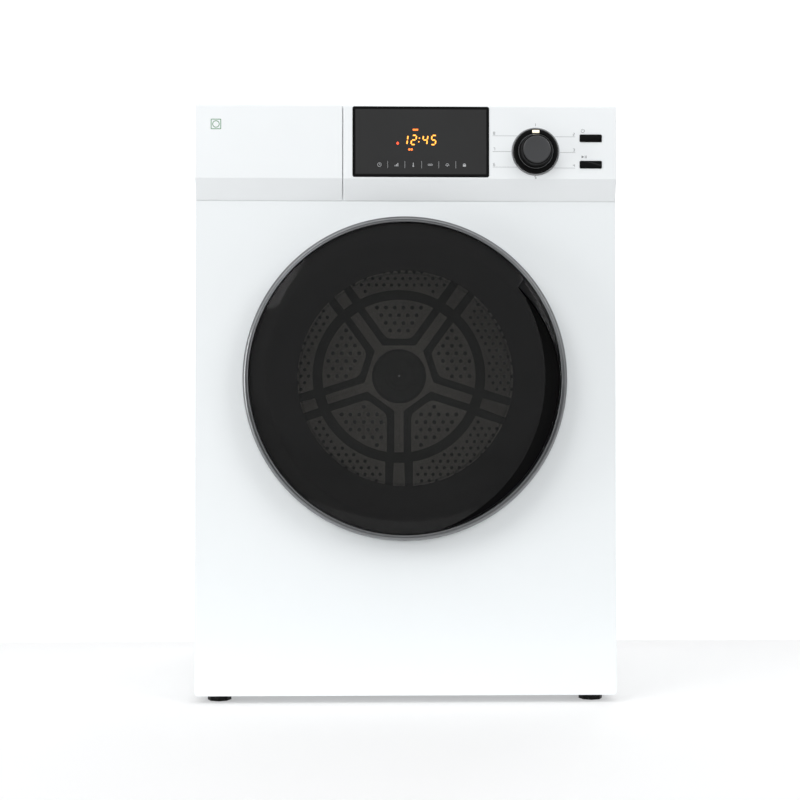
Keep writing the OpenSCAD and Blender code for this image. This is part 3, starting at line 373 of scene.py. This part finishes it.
def arc_band(cx, cz, radius, width, start, stop, steps=28):
    """Outline of a curved band between two angles in degrees."""
    outer, inner = [], []
    for k in range(steps + 1):
        a = math.radians(start + (stop - start) * k / steps)
        outer.append((cx + (radius + width / 2) * math.cos(a), cz + (radius + width / 2) * math.sin(a)))
        inner.append((cx + (radius - width / 2) * math.cos(a), cz + (radius - width / 2) * math.sin(a)))
    return outer + inner[::-1]


def disc(x, z, radius, steps=20):
    """Outline of a round spot."""
    return [(x + radius * math.cos(2 * math.pi * k / steps), z + radius * math.sin(2 * math.pi * k / steps))
            for k in range(steps)]


def circle_line(x, z, radius, width):
    """Outline of a thin line drawn round a circle."""
    return arc_band(x, z, radius, width, 0, 359.9, 36)


def stroke(x0, z0, x1, z1, width):
    """Outline of a straight line with a width."""
    along = Vector((x1 - x0, z1 - z0)).normalized() * width / 2
    dx, dz = -along.y, along.x
    return [(x0 + dx, z0 + dz), (x0 - dx, z0 - dz), (x1 - dx, z1 - dz), (x1 + dx, z1 + dz)]


def printed(name, outlines, face_y, finish, body, thick=0.00012):
    """Flat marks that stand a hair in front of a face."""
    bm = bmesh.new()
    for outline in outlines:
        prism(bm, outline, face_y - thick, face_y + thick)
    return add_piece(name, bm, finish, body, smooth=False)


# ---------------------------------------------------------------- camera and stage

def paper(name, tone, glow):
    """Matt studio paper with an even glow of its own."""
    material = moulded(name, (tone, tone, tone), 0.9, 30.0, 0.00001, 0.004)
    shader = material.node_tree.nodes["Principled BSDF"]
    shader.inputs["Emission Color"].default_value = (1, 1, 1, 1)
    shader.inputs["Emission Strength"].default_value = glow
    return material


def sheet(name, half, line, material):
    """A stage surface: points of (y, z) drawn out sideways."""
    bm = bmesh.new()
    rows = [[bm.verts.new((x, y, z)) for x in (-half, half)] for y, z in line]
    for low, high in zip(rows, rows[1:]):
        bm.faces.new([low[0], low[1], high[1], high[0]])
    mesh = bpy.data.meshes.new(name)
    bm.to_mesh(mesh)
    bm.free()
    for face in mesh.polygons:
        face.use_smooth = True
    mesh.materials.append(material)
    surface = bpy.data.objects.new(name, mesh)
    bpy.context.scene.collection.objects.link(surface)


def camera():
    """The photograph's viewpoint: level, near, and a little left of the middle."""
    data = bpy.data.cameras.new("camera")
    data.lens = 66.9
    data.sensor_width = 36
    data.clip_end = 60
    viewer = bpy.data.objects.new("camera", data)
    bpy.context.scene.collection.objects.link(viewer)
    distance, height, aside = 2.100, 0.390, -0.056
    yaw, pitch = math.radians(1.29), math.radians(1.03)
    viewer.location = (aside, FRONT_Y - distance, height)
    viewer.rotation_euler = (math.pi / 2 + pitch, 0, -yaw)
    bpy.context.scene.camera = viewer


def floor_and_backdrop():
    """White paper under and behind the object, and dark floor between it and the viewer's feet."""
    half, front, near, middle, back, rise, bend = 7.0, -6.0, -0.85, 0.35, 3.2, 5.0, 1.2
    curve = [(back - bend + bend * math.sin(a), bend - bend * math.cos(a))
             for a in [math.radians(10 * k) for k in range(1, 10)]]
    sheet("studio_floor_front", half, [(front, 0), (near, 0)], paper("grey_paper", 0.06, 0.0))
    sheet("studio_floor", half, [(near, 0), (middle, 0)], paper("floor_paper", 0.62, 0.34))
    sheet("studio_floor_far", half, [(middle, 0), (back - bend, 0)], paper("far_paper", 0.62, 0.50))
    curve = [(back - bend, 0)] + curve + [(back, rise)]
    sheet("studio_backdrop", half, curve, paper("back_paper", 0.93, 0.60))


def area(name, place, aim, width, height, power, in_gloss=True):
    """A rectangular lamp that faces a point."""
    lamp = bpy.data.lights.new(name, "AREA")
    lamp.shape = "RECTANGLE"
    lamp.size = width
    lamp.size_y = height
    lamp.energy = power
    light = bpy.data.objects.new(name, lamp)
    light.location = place
    light.visible_glossy = in_gloss
    light.rotation_euler = (Vector(aim) - Vector(place)).to_track_quat("-Z", "Y").to_euler()
    bpy.context.scene.collection.objects.link(light)


def lights():
    """Soft studio light, and two small lamps in the drum, above and below its opening."""
    world = bpy.data.worlds.new("studio")
    world.use_nodes = True
    world.node_tree.nodes["Background"].inputs["Color"].default_value = (0.95, 0.97, 1.0, 1)
    world.node_tree.nodes["Background"].inputs["Strength"].default_value = 0.30
    bpy.context.scene.world = world
    middle = (0, 0, 0.45)
    area("key", (-2.3, -2.8, 2.6), middle, 2.0, 2.0, 42)
    area("fill", (2.6, -2.6, 2.2), middle, 2.0, 2.2, 37)
    area("top", (0, -1.1, 2.3), (0, -0.25, 0.6), 2.6, 1.2, 14)
    area("rear", (1.0, 3.0, 2.4), middle, 2.2, 1.6, 30)
    area("left_strip", (-2.4, -1.0, 0.6), middle, 0.5, 1.4, 20)
    area("right_strip", (2.4, -1.0, 0.6), middle, 0.5, 1.4, 3)
    area("inner", (-0.1, -3.6, 0.7), middle, 0.8, 0.8, 20, False)
    back = (0, BACK_LOW.y, DRUM.z)
    for name, side, power in (("drum_upper", 1, 0.12), ("drum_lower", -1, 0.07)):
        area(name, (-0.03 * side, -0.13, DRUM.z + 0.200 * side), back, 0.24, 0.04, power, False)


camera()
floor_and_backdrop()
lights()
bpy.context.scene.view_settings.view_transform = "Standard"

# ---------------------------------------------------------------- cabinet

# Radius of the rounded edges of each node, in millimetres
SOFT_EDGES = {
    "side_panel_left": 0.5, "side_panel_right": 0.5, "top_cover": 2.2, "terminal_cover": 0.9,
    "power_button": 0.5, "start_button": 0.5, "foot_front_left": 0.7, "foot_front_right": 0.7,
    "foot_rear_left": 0.7, "foot_rear_right": 0.7, "lint_filter": 0.5, "hinge_bracket": 0.5,
    "door_strike": 0.6, "latch_housing": 0.6, "exhaust_collar": 0.3,
}
for node_name, width in SOFT_EDGES.items():
    softened(node_name, width * MM)


# ---------------------------------------------------------------- control fascia

FASCIA_WALL = 2.5 * MM
CREASE_Z = WINDOW_LOW.z - 2 * MM
# Left, right, lower and upper edge of the display window, and its corner radius
WINDOW = (WINDOW_LOW.x, WINDOW_HIGH.x, WINDOW_LOW.z, WINDOW_HIGH.z, 3 * MM)


def loft(name, rings, finish, body, replaces=()):
    """Joins rings of points in order and caps both ends."""
    bm = bmesh.new()
    made = [[bm.verts.new(point) for point in ring] for ring in rings]
    count = len(rings[0])
    for first, second in zip(made, made[1:]):
        for k in range(count):
            n = (k + 1) % count
            bm.faces.new([first[k], first[n], second[n], second[k]])
    bm.faces.new(made[0][::-1])
    bm.faces.new(made[-1])
    return add_piece(name, bm, finish, body, smooth=False, replaces=replaces)


def plate(name, x0, x1, z0, z1, radius, steps, finish, body, slot=None, replaces=()):
    """A plate with round corners; steps of (inset, y) run from its back to its front."""
    rings = [[(x, y, z) for x, z in rounded(x0 + i, x1 - i, z0 + i, z1 - i, max(radius - i, 0.3 * MM))]
             for i, y in steps]
    return loft(name, rings, finish, body, replaces)


def fascia_section(inset, back):
    """Section of the fascia in y and z, its outer faces moved inwards by inset."""
    face, foot = FACE_Y + inset, FRONT_Y - MM + inset
    top, low, r = FASCIA_HIGH.z - inset, FASCIA_LOW.z + inset, 3.6 * MM
    arc = [math.radians(15 * k) for k in range(7)]
    points = [(back, top)]
    points += [(face + r - r * math.sin(a), top - r + r * math.cos(a)) for a in arc]
    points += [(face, CREASE_Z), (foot, low + 0.8 * MM), (foot + 0.8 * MM, low), (back, low)]
    return points


def fascia_block(name, x0, x1, node, holes):
    """A hollow fascia block with rounded ends, cut by the given outlines in x and z."""
    q = 1.2 * MM
    ends = [math.radians(18 * k) for k in range(6)]
    left = [(x0 + q * (1 - math.cos(t)), q * (1 - math.sin(t))) for t in ends]
    right = [(x1 - q * (1 - math.cos(t)), q * (1 - math.sin(t))) for t in ends[::-1]]
    rings = [[(x, y, z) for y, z in fascia_section(i, FASCIA_HIGH.y)] for x, i in left + right]
    block = loft(name, rings, "white_plastic", "cabinet", [node])
    section = fascia_section(FASCIA_WALL, FRONT_Y + 10 * MM)
    inside = [[(x, y, z) for y, z in section] for x in (x0 + FASCIA_WALL, x1 - FASCIA_WALL)]
    cut_away(block, loft("cavity", inside, "white_plastic", "cabinet"))
    if holes:
        bm = bmesh.new()
        for outline in holes:
            prism(bm, outline, FACE_Y - 10 * MM, FACE_Y + 2 * FASCIA_WALL)
        cut_away(block, add_piece("holes", bm, "white_plastic", "cabinet"))
    for face in block.data.polygons:
        face.use_smooth = False


def button_outline(low, high, grow):
    """Outline of a button's opening, from the button's flanged box."""
    flange, r = 1.5 * MM, 1.5 * MM
    inset = flange - grow
    return rounded(low.x + inset, high.x - inset, low.z + inset, high.z - inset, r + grow)


fascia_block("fascia_left_block", COVER_LOW.x, COVER_HIGH.x, "fascia_end_cover", [])
fascia_block("fascia_right_block", FASCIA_LOW.x, FASCIA_HIGH.x, "control_fascia", [
    rounded(*WINDOW),
    arc_band(DIAL.x, DIAL.z, 2.5 * MM, 5 * MM, 0, 359.9),
    button_outline(POWER_LOW, POWER_HIGH, 0.4 * MM),
    button_outline(START_LOW, START_HIGH, 0.4 * MM),
])

# ---------------------------------------------------------------- display

GLASS_Y = WINDOW_LOW.y
DIGIT_Z = 788 * MM
DIGIT_SIZE = (6.2 * MM, 13 * MM)
LAMP_Z = 809 * MM
DOT_Z = 781 * MM
KEY_Z = 759.5 * MM
SEGMENTS = {"a": ((0, 2), (1, 2)), "b": ((1, 2), (1, 1)), "c": ((1, 1), (1, 0)), "d": ((0, 0), (1, 0)),
            "e": ((0, 1), (0, 0)), "f": ((0, 2), (0, 1)), "g": ((0, 1), (1, 1))}
DIGITS = ["abcdef", "bc", "abged", "abgcd", "fgbc", "afgcd", "afgedc", "abc", "abcdefg", "abcdfg"]


def digit(number, x, z, width, height, thick, slant=0.0):
    """Outlines of a seven-segment digit with its lower left corner at x and z."""
    outlines = []
    for key in DIGITS[number]:
        start, stop = [Vector((px * width, pz * height / 2)) for px, pz in SEGMENTS[key]]
        short = (stop - start).normalized() * thick * 0.55
        start, stop = start + short, stop - short
        outlines.append(stroke(x + start.x + slant * start.y, z + start.y,
                               x + stop.x + slant * stop.y, z + stop.y, thick))
    return outlines


def drop(x, z, size):
    """Outline of a water drop with its point up."""
    points = [(x, z + 1.5 * size)]
    points += [(x + size * math.sin(math.radians(a)), z + size * math.cos(math.radians(a)))
               for a in range(50, 311, 20)]
    return points


def key_icons():
    """Generic marks for six touch keys: time, level, heat, damp, chime and lock, with lines between them."""
    m, w, z = MM, 0.55 * MM, KEY_Z
    clock, level, heat, damp, chime, lock = [x * m for x in (-38, -14, 9.8, 33.7, 57.8, 82)]
    outlines = [circle_line(clock, z, 2.6 * m, w), stroke(clock, z, clock, z + 1.8 * m, w),
                stroke(clock, z, clock + 1.4 * m, z, w)]
    outlines += [stroke(level + i * 2 * m, z - 2.4 * m, level + i * 2 * m, z + (i * 1.5 + 0.6) * m, 1.1 * m)
                 for i in (-1, 0, 1)]
    outlines += [disc(heat, z - 1.9 * m, 1.2 * m), stroke(heat, z - 1.2 * m, heat, z + 2.8 * m, 0.9 * m)]
    outlines += [circle_line(damp + i * 2.1 * m, z, 1.0 * m, w) for i in (-1, 0, 1)]
    outlines += [arc_band(chime, z - 0.4 * m, 2.0 * m, w, 0, 180), disc(chime, z - 1.9 * m, 0.6 * m),
                 stroke(chime - 2.8 * m, z - 0.7 * m, chime + 2.8 * m, z - 0.7 * m, w)]
    outlines += [rounded(lock - 2.1 * m, lock + 2.1 * m, z - 2.5 * m, z + 0.5 * m, 0.4 * m),
                 arc_band(lock, z + 0.5 * m, 1.4 * m, w, 0, 180)]
    outlines += [stroke(x * m, z - 5 * m, x * m, z + 5 * m, 0.4 * m) for x in (-26.3, -2.1, 21.6, 45.8, 69.8)]
    return outlines


def display():
    """Black-edged window with an amber readout, small lamps and printed touch keys."""
    bezel = [(0, WINDOW_HIGH.y), (0, GLASS_Y + 0.35 * MM),
             (0.15 * MM, GLASS_Y + 0.1 * MM), (0.4 * MM, GLASS_Y)]
    plate("display_bezel", *WINDOW, bezel, "black_gloss", "cabinet", "display_glass", ["display_window"])
    border, face = 4.2 * MM, GLASS_Y - 0.1 * MM
    plate("display_face", *WINDOW,
          [(border, GLASS_Y + 0.2 * MM), (border, GLASS_Y - 0.05 * MM), (border + 0.1 * MM, face)],
          "display_glass", "cabinet", "display_glass")
    digits = []
    for number, x in ((1, -5.5), (2, 6.5), (4, 22.5), (5, 34.5)):
        digits += digit(number, x * MM, DIGIT_Z, *DIGIT_SIZE, 1.7 * MM, 0.14)
    digits += [disc(x * MM, DIGIT_Z + rise * MM, 0.9 * MM) for x, rise in ((17.6, 4), (18.4, 9))]
    lamps = [stroke(9 * MM, LAMP_Z, 16.6 * MM, LAMP_Z, 2.4 * MM)]
    lamps += [disc(x * MM, DOT_Z, 1.6 * MM) for x in (4.2, 7.6)]
    for name, outlines, finish in (
            ("display_digits", digits, "amber_light"), ("display_lamps", lamps, "orange_light"),
            ("display_drop", [drop(-12.2 * MM, 789.5 * MM, 1.7 * MM)], "red_light"),
            ("touch_key_marks", key_icons(), "printed_pale")):
        printed(name, outlines, face, finish, "cabinet")


display()

# ---------------------------------------------------------------- dial and buttons

def dial():
    """Black skirt, a thin grey ring painted as the highlight at the cap's base, a tapered cap with a dished
    top, and a lit pointer.
    """
    y0, r = FACE_Y, DIAL_R
    front = DIAL_LOW.y
    step = y0 - 4.4 * MM
    skirt = [(0, y0 - 0.3 * MM), (r - 0.6 * MM, y0 - 0.3 * MM), (r, y0 - 0.9 * MM), (r, y0 - 3.2 * MM),
             (r - 0.25 * MM, y0 - 3.8 * MM), (r - 0.8 * MM, y0 - 4.25 * MM), (r - 1.4 * MM, y0 - 4.45 * MM),
             (0.78 * r, y0 - 4.9 * MM), (0.765 * r, step), (0, step)]
    lathe("dial_skirt", skirt, DIAL, "black_gloss", "dial", 160, ["dial_knob"])
    # Painted highlight: a thin grey ring in the printed grey at the cap's foot stands for light caught by the
    # cap's base edge
    line = [(0.762 * r, step), (0.778 * r, step), (0.778 * r, y0 - 5.05 * MM), (0.762 * r, y0 - 5.05 * MM)]
    lathe("dial_painted_highlight_ring", line, DIAL, "printed_grey", "dial", 160)
    cap, foot, curl = 0.673 * r, 0.75 * r, 1.6 * MM
    edge = cap - 1.9 * MM
    flank = [(0, y0 - 4.5 * MM), (foot, y0 - 4.5 * MM), (foot, y0 - 5.0 * MM),
             (foot - 0.6 * MM, y0 - 6.4 * MM), (cap + 1.2 * MM, front + 5 * MM), (cap, front + curl)]
    flank += [(cap - curl + curl * math.cos(a), front + curl - curl * math.sin(a))
              for a in [math.radians(15 * k) for k in range(1, 7)]]
    flank += [(edge, front + 0.3 * MM), (edge, front + curl), (0, front + curl)]
    lathe("dial_cap_flank", flank, DIAL, "black_gloss", "dial", 160)
    top = [(edge * k / 12, front + 0.25 * MM + 0.7 * MM * (1 - (k / 12) ** 2)) for k in range(12, -1, -1)]
    top = [(0, front + 1.5 * MM), (edge, front + 1.5 * MM)] + top
    lathe("dial_cap_face", top, DIAL, "dial_cap", "dial", 160)
    z = DIAL.z + 0.885 * r
    plate("dial_pointer", DIAL.x - 5 * MM, DIAL.x + 5 * MM, z - 2 * MM, z + 2 * MM, 0.5 * MM,
          [(0, y0 - 4 * MM), (0, y0 - 4.9 * MM), (0.2 * MM, y0 - 5.1 * MM)],
          "cream_light", "dial", "black_gloss")
    ring_r = r + 0.5 * MM
    ring = [(0, -0.1), (0, 1.3), (0.3, 1.6), (1.3, 1.6), (1.9, 0.9), (1.9, -0.1)]
    lathe("dial_surround", [(ring_r + out * MM, y0 - proud * MM) for out, proud in ring], DIAL,
          "grey_plastic", "cabinet", 160, ["dial_ring"])


def dial_prints():
    """Numbered leader lines on both sides of the dial, and a number above and below it."""
    m, line = MM, 0.35 * MM
    left, right = 122 * m, 239 * m
    outlines = []
    for k, level in enumerate((801.0, 778.7, 756.7)):
        z = level * m
        gap_x = 0.3 * m + math.sqrt((DIAL_R + 2.6 * m) ** 2 - (z - DIAL.z) ** 2)
        outlines.append(stroke(left, z, DIAL.x - gap_x, z, line))
        outlines += digit(8 - k, left + m, z + 1.6 * m, 2.1 * m, 3.8 * m, 0.6 * m)
        outlines.append(stroke(DIAL.x + gap_x, z - m, right, z - m, line))
        outlines += digit(2 + k, right - 3 * m, z + 0.6 * m, 2.1 * m, 3.8 * m, 0.6 * m)
    outlines += digit(1, DIAL.x - 2.1 * m, 814.6 * m, 2.1 * m, 4.2 * m, 0.7 * m)
    outlines += digit(5, DIAL.x - 1.05 * m, 740.6 * m, 2.1 * m, 3.6 * m, 0.6 * m)
    printed("dial_marks", outlines, FACE_Y, "printed_grey", "cabinet")


def button_prints():
    """Generic power and start signs by the two buttons."""
    m = MM
    x, z = 249.7 * m, 808.5 * m
    outlines = [arc_band(x, z, 2.3 * m, 0.5 * m, -240, 60), stroke(x, z + 0.6 * m, x, z + 3 * m, 0.5 * m)]
    x, z = 250 * m, 771.6 * m
    outlines.append([(x - 2 * m, z - 2 * m), (x + 1.6 * m, z), (x - 2 * m, z + 2 * m)])
    outlines += [stroke(x + bar * m, z - 1.9 * m, x + bar * m, z + 1.9 * m, 0.7 * m) for bar in (3, 4.6)]
    printed("button_marks", outlines, FACE_Y, "printed_grey", "cabinet")


def drying_sign():
    """A plain circle in a square on the left block."""
    x, z, half, line = -268 * MM, 816 * MM, 6.76 * MM, 0.9 * MM
    corners = [(x - half, z - half), (x + half, z - half), (x + half, z + half), (x - half, z + half)]
    square = [stroke(*a, *b, line) for a, b in zip(corners, corners[1:] + corners[:1])]
    printed("drying_symbol", square + [circle_line(x, z, 4.6 * MM, line)], FACE_Y, "printed_green", "cabinet")


dial()
dial_prints()
button_prints()
drying_sign()

# ---------------------------------------------------------------- drum's back

ARMS = 5
FIRST_ARM = -90
ARM_STEP = 360 / ARMS
HALF_STEP = ARM_STEP / 2
ARM_HALF = 8 * MM
COLLAR_FLAT = 53 * MM
HUB_R = 43 * MM
SECTOR_FLAT = 65 * MM
SECTOR_R = 132 * MM
OUTER_R = (149 * MM, 250 * MM)
SIDE_GAP = 21 * MM
BACK_FACE = BACK_HIGH.y - 2.4 * MM


def on_drum(angle, along, across):
    """Point of the drum's back, measured along and across an arm at the given angle."""
    c, s = math.cos(math.radians(angle)), math.sin(math.radians(angle))
    return (DRUM.x + along * c - across * s, DRUM.z + along * s + across * c)


def corner(before, tip, after, steps=4):
    """A rounded corner as points on a curve from one side to the next."""
    points = []
    for k in range(steps + 1):
        t = k / steps
        weights = (1 - t) ** 2, 2 * t * (1 - t), t * t
        points.append(tuple(sum(w * p[i] for w, p in zip(weights, (before, tip, after))) for i in (0, 1)))
    return points


def sector_outline(middle):
    """The wedge between two arms, flat at its inner end."""
    half = HALF_STEP - math.degrees(math.asin(SIDE_GAP / SECTOR_R))
    arc = [on_drum(middle - half + half * k / 12, SECTOR_R, 0) for k in range(25)]
    turn = math.radians(HALF_STEP)
    width = (SECTOR_FLAT * math.sin(turn) - SIDE_GAP) / math.cos(turn)
    reach = 9 * MM
    slant = [(SECTOR_FLAT + reach * math.cos(turn), width + reach * math.sin(turn)), (SECTOR_FLAT, width),
             (SECTOR_FLAT, width - reach)]
    upper = corner(*[on_drum(middle, along, across) for along, across in slant])
    lower = corner(*[on_drum(middle, along, -across) for along, across in slant[::-1]])
    return arc + upper + lower


def outer_outline(middle):
    """The curved sheet outside the ring, between two arms."""
    inner, outer = OUTER_R
    halves = [HALF_STEP - math.degrees(math.asin((SIDE_GAP + 3 * MM) / radius)) for radius in (inner, outer)]
    near = [on_drum(middle + halves[0] - halves[0] * k / 12, inner, 0) for k in range(25)]
    far = [on_drum(middle - halves[1] + halves[1] * k / 12, outer, 0) for k in range(25)]
    return far + near


def clearance(point, outline):
    """Distance from a point to an outline, negative outside it."""
    inside = False
    nearest = math.inf
    for (x0, z0), (x1, z1) in zip(outline, outline[1:] + outline[:1]):
        dx, dz, px, pz = x1 - x0, z1 - z0, point[0] - x0, point[1] - z0
        if (z0 > point[1]) != (z1 > point[1]) and px < dx * pz / dz:
            inside = not inside
        t = max(0, min(1, (px * dx + pz * dz) / (dx * dx + dz * dz)))
        nearest = min(nearest, math.hypot(px - t * dx, pz - t * dz))
    return nearest if inside else -nearest


def perforated(name, outlines, face_y, thick, pitch, hole_r):
    """Flat sheets of the drum's back with staggered round holes clear of their edges."""
    bm = bmesh.new()
    row_gap = pitch * 0.866
    rows = int(OUTER_R[1] / row_gap) + 1
    centres = [(DRUM.x + (i + (j % 2) / 2) * pitch, DRUM.z + j * row_gap)
               for j in range(-rows, rows + 1) for i in range(-rows, rows + 1)]
    for outline in outlines:
        holes = [disc(*centre, hole_r, 10) for centre in centres if clearance(centre, outline) > hole_r * 1.7]
        loops = [outline] + holes
        edges = []
        for loop in loops:
            made = [bm.verts.new((x, face_y, z)) for x, z in loop]
            edges += [bm.edges.new((made[k - 1], made[k])) for k in range(len(made))]
        bmesh.ops.triangle_fill(bm, edges=edges, use_beauty=True, normal=(0, -1, 0))
    piece = add_piece(name, bm, "drum_sheet", "drum", smooth=False)
    modifier = piece.modifiers.new("thickness", "SOLIDIFY")
    modifier.thickness = thick
    modifier.offset = 0


def drum_dish():
    """Pressed disc with a raised hub, three fine rings on it, and a folded rim, coloured near-black as
    painted shade for the channels and gaps round the raised sheets.
    """
    face, rear, top = BACK_FACE, BACK_FACE + 2.4 * MM, BACK_FACE - 10.6 * MM
    rim = (SHELL_HIGH.x - SHELL_LOW.x) / 2 - 1.5 * MM
    bead = [(-1.4, 0), (-0.5, 0.6), (0.5, 0.6), (1.4, 0)]
    profile = [(0, top)]
    for radius in (8, 19, 26):
        profile += [((radius + aside) * MM, top - proud * MM) for aside, proud in bead]
    profile += [(HUB_R - 2 * MM, top), (HUB_R, top + MM),
                (HUB_R + 4 * MM, face - 2 * MM), (HUB_R + 5 * MM, face)]
    profile += [(rim - 12 * MM, face), (rim - 9 * MM, face - 5.6 * MM), (rim, face - 5.6 * MM),
                (rim, face - 4.2 * MM), (rim - 7.6 * MM, face - 4.2 * MM), (rim - 10.6 * MM, rear)]
    profile += [(HUB_R, rear), (0, rear)]
    lathe("drum_back_dish", profile, DRUM, "drum_channel", "drum", replaces=["drum_back"])
    dot = [(0, face - 12 * MM), (1.6 * MM, face - 11.6 * MM), (1.8 * MM, face - 10 * MM), (0, face - 10 * MM)]
    lathe("drum_back_dot", dot, DRUM, "printed_pale", "drum", 24)


def arm_box(angle, start, stop, start_half, stop_half):
    """Outline of a straight strip along an arm."""
    places = ((start, -start_half), (stop, -stop_half), (stop, stop_half), (start, start_half))
    return [on_drum(angle, along, across) for along, across in places]


def drum_arms():
    """A star of five arms round the hub, their outer ends, and a fine ridge along each arm."""
    turn = math.radians(HALF_STEP)
    root = (COLLAR_FLAT - ARM_HALF * math.sin(turn)) / math.cos(turn)
    angles = [FIRST_ARM + ARM_STEP * k for k in range(ARMS)]
    tip = SECTOR_R - MM
    star = [point for angle in angles for point in arm_box(angle, root, tip, ARM_HALF, ARM_HALF)]
    ends = [arm_box(angle, *OUTER_R, 9 * MM, 13 * MM) for angle in angles]
    bm = bmesh.new()
    for outline in [star] + ends:
        prism(bm, outline, BACK_FACE - 2.6 * MM, BACK_FACE + 0.2 * MM)
    for angle in angles:
        ridge = arm_box(angle, root, tip - 3 * MM, 1.2 * MM, 1.2 * MM)
        prism(bm, ridge, BACK_FACE - 3.2 * MM, BACK_FACE - 2.4 * MM)
    bevel(add_piece("drum_back_arms", bm, "drum_sheet", "drum", smooth=False), 0.8 * MM, 2)


def drum_sheets():
    """Perforated sheets between the arms, inside and outside the ring."""
    middles = [FIRST_ARM + HALF_STEP + ARM_STEP * k for k in range(ARMS)]
    face, thick = BACK_FACE - 1.2 * MM, 1.6 * MM
    sectors = [sector_outline(middle) for middle in middles]
    outers = [outer_outline(middle) for middle in middles]
    perforated("drum_back_sectors", sectors, face, thick, 15.2 * MM, 3.6 * MM)
    perforated("drum_back_outer", outers, face, thick, 13 * MM, 3.0 * MM)


drum_dish()
drum_sheets()
drum_arms()


# ---------------------------------------------------------------- door

def ray_to_circle(cx, cz, radius, angle):
    """Distance from the door's centre to a circle along a ray."""
    dot = cx * math.cos(angle) + cz * math.sin(angle)
    return dot + math.sqrt(radius * radius - cx * cx - cz * cz + dot * dot)


# Circles that bound the finger recess: x and z from the door's centre, and radius
GRIP_INNER = (-0.033, 0.002, 0.2285)
GRIP_OUTER = (0.008, -0.020, 0.211)
GLASS_R = (GLASS_HIGH.x - GLASS_LOW.x) / 2
# Radius of the clear middle, inside the black border printed behind the glass
VIEW_R = 0.150


def grip_span(a):
    """Inner and outer radius of the finger recess at an angle, or nothing where it has no width."""
    near = ray_to_circle(*GRIP_INNER, a)
    far = min(ray_to_circle(*GRIP_OUTER, a), GLASS_R - 1.5 * MM)
    return (near, far) if far - near > 0.2 * MM else None


def glass_depth(r):
    """The y of the glass's front face at a radius: a shallow dome, a bevelled zone and a rolled edge."""
    edge_y, bevel_y, flat = GLASS_LOW.y + 10 * MM, GLASS_LOW.y + 4.2 * MM, GLASS_R - 24 * MM
    if r <= flat:
        return GLASS_LOW.y + (bevel_y - GLASS_LOW.y) * (r / flat) ** 2
    t = (r - flat) / (GLASS_R - flat)
    return bevel_y + (edge_y - bevel_y) * (0.92 * t + 0.08 * t ** 8)


def glass_sheet(name, spans, finish="smoked_glass", sunk=0.0, thick=2.6 * MM, replaces=()):
    """A dome-shaped sheet between an inner and an outer radius at each angle, made solid."""
    steps = 26
    bm = bmesh.new()
    columns = []
    for a, inner, outer in spans:
        knots = [inner + (outer - inner) * k / steps for k in range(steps + 1)]
        points = [(DOOR.x + r * math.cos(a), glass_depth(r) + sunk, DOOR.z + r * math.sin(a)) for r in knots]
        columns.append([bm.verts.new(point) for point in points])
    whole = abs(spans[-1][0] - spans[0][0]) > 2 * math.pi - 0.1
    pairs = list(zip(columns, columns[1:])) + ([(columns[-1], columns[0])] if whole else [])
    for first, second in pairs:
        for k in range(steps):
            bm.faces.new([first[k], first[k + 1], second[k + 1], second[k]])
    bmesh.ops.remove_doubles(bm, verts=bm.verts[:], dist=0.00002)
    piece = add_piece(name, bm, finish, "door", replaces=replaces)
    if piece.data.polygons[0].normal.y > 0:
        piece.data.flip_normals()
    modifier = piece.modifiers.new("thickness", "SOLIDIFY")
    modifier.thickness = thick
    modifier.offset = -1
    apply_modifiers(piece)
    bevel(piece, 0.5 * MM, 2, 40)


def door_glass():
    """Smoked domed glass, open at the finger recess, the narrow rim outside it, and the black border."""
    turn = [math.radians(1.0 * k) for k in range(-180, 180)]
    main = []
    for a in turn:
        span = grip_span(a)
        main.append((a, 0.4 * MM, span[0] if span else GLASS_R))
    glass_sheet("door_glass", main, replaces=["door_window"])
    rim = [(a, grip_span(a)[1], GLASS_R) for a in turn if grip_span(a)]
    glass_sheet("door_glass_rim", rim)
    border = [(a, VIEW_R, outer - 0.4 * MM) for a, _, outer in main]
    glass_sheet("door_glass_border", border, "black_border", 3.5 * MM, 0.3 * MM)


def door_trim():
    """Satin ring: rounded outer edge, flat band and a bright raised lip at the glass."""
    r, front, curl = DOOR_R, RING_LOW.y, 6.6 * MM
    inner = r - 8.5 * MM
    lip = [(0, 1.0), (0.4, 0.3), (1.2, 0), (1.7, 0.4), (1.9, 1.0)]
    profile = [(inner + out * MM, front + depth * MM) for out, depth in lip]
    profile += [(r - curl + curl * math.sin(a), front + 0.2 * MM + 7.5 * MM * (1 - math.cos(a)))
                for a in [math.radians(10 * k) for k in range(1, 10)]]
    profile += [(r, RING_HIGH.y - 1.2 * MM), (r - 0.8 * MM, RING_HIGH.y), (inner, RING_HIGH.y)]
    lathe("door_trim_ring", profile, DOOR, "satin_trim", "door", 256, ["door_ring"])


def glass_bowl():
    """Thick pressed bowl with a rolled rim at its inner end."""
    rear, flange = BOWL_HIGH.y, BOWL_LOW.y
    mouth, end, thick = 155 * MM, 133 * MM, 5 * MM
    rim = mouth + 13.5 * MM
    outer = [(rim, flange + thick), (mouth + 2 * MM, flange + thick), (mouth, flange + 8 * MM)]
    for k in range(0, 9):
        t = k / 8
        depth = flange + 10 * MM + (rear - flange - 26 * MM) * t
        outer.append((mouth - (mouth - end) * t ** 1.4 * 0.9, depth))
    outer += [(end + MM, rear - 8 * MM), (end - 3 * MM, rear - 2 * MM), (end - 9 * MM, rear),
              (end - 16 * MM, rear - 2.5 * MM), (end / 2, rear - 3.8 * MM), (0.0, rear - 4.2 * MM)]
    inner = [(max(r - thick, 0.0), y - (thick if r < end - 2 * MM else MM)) for r, y in outer[:2:-1]]
    inner[0] = (0.0, inner[0][1])
    inner += [(mouth - 8 * MM, flange), (rim, flange)]
    lathe("door_glass_bowl", outer + inner, DOOR, "bowl_glass", "door", 192, ["door_bowl"])


door_glass()
door_trim()
glass_bowl()
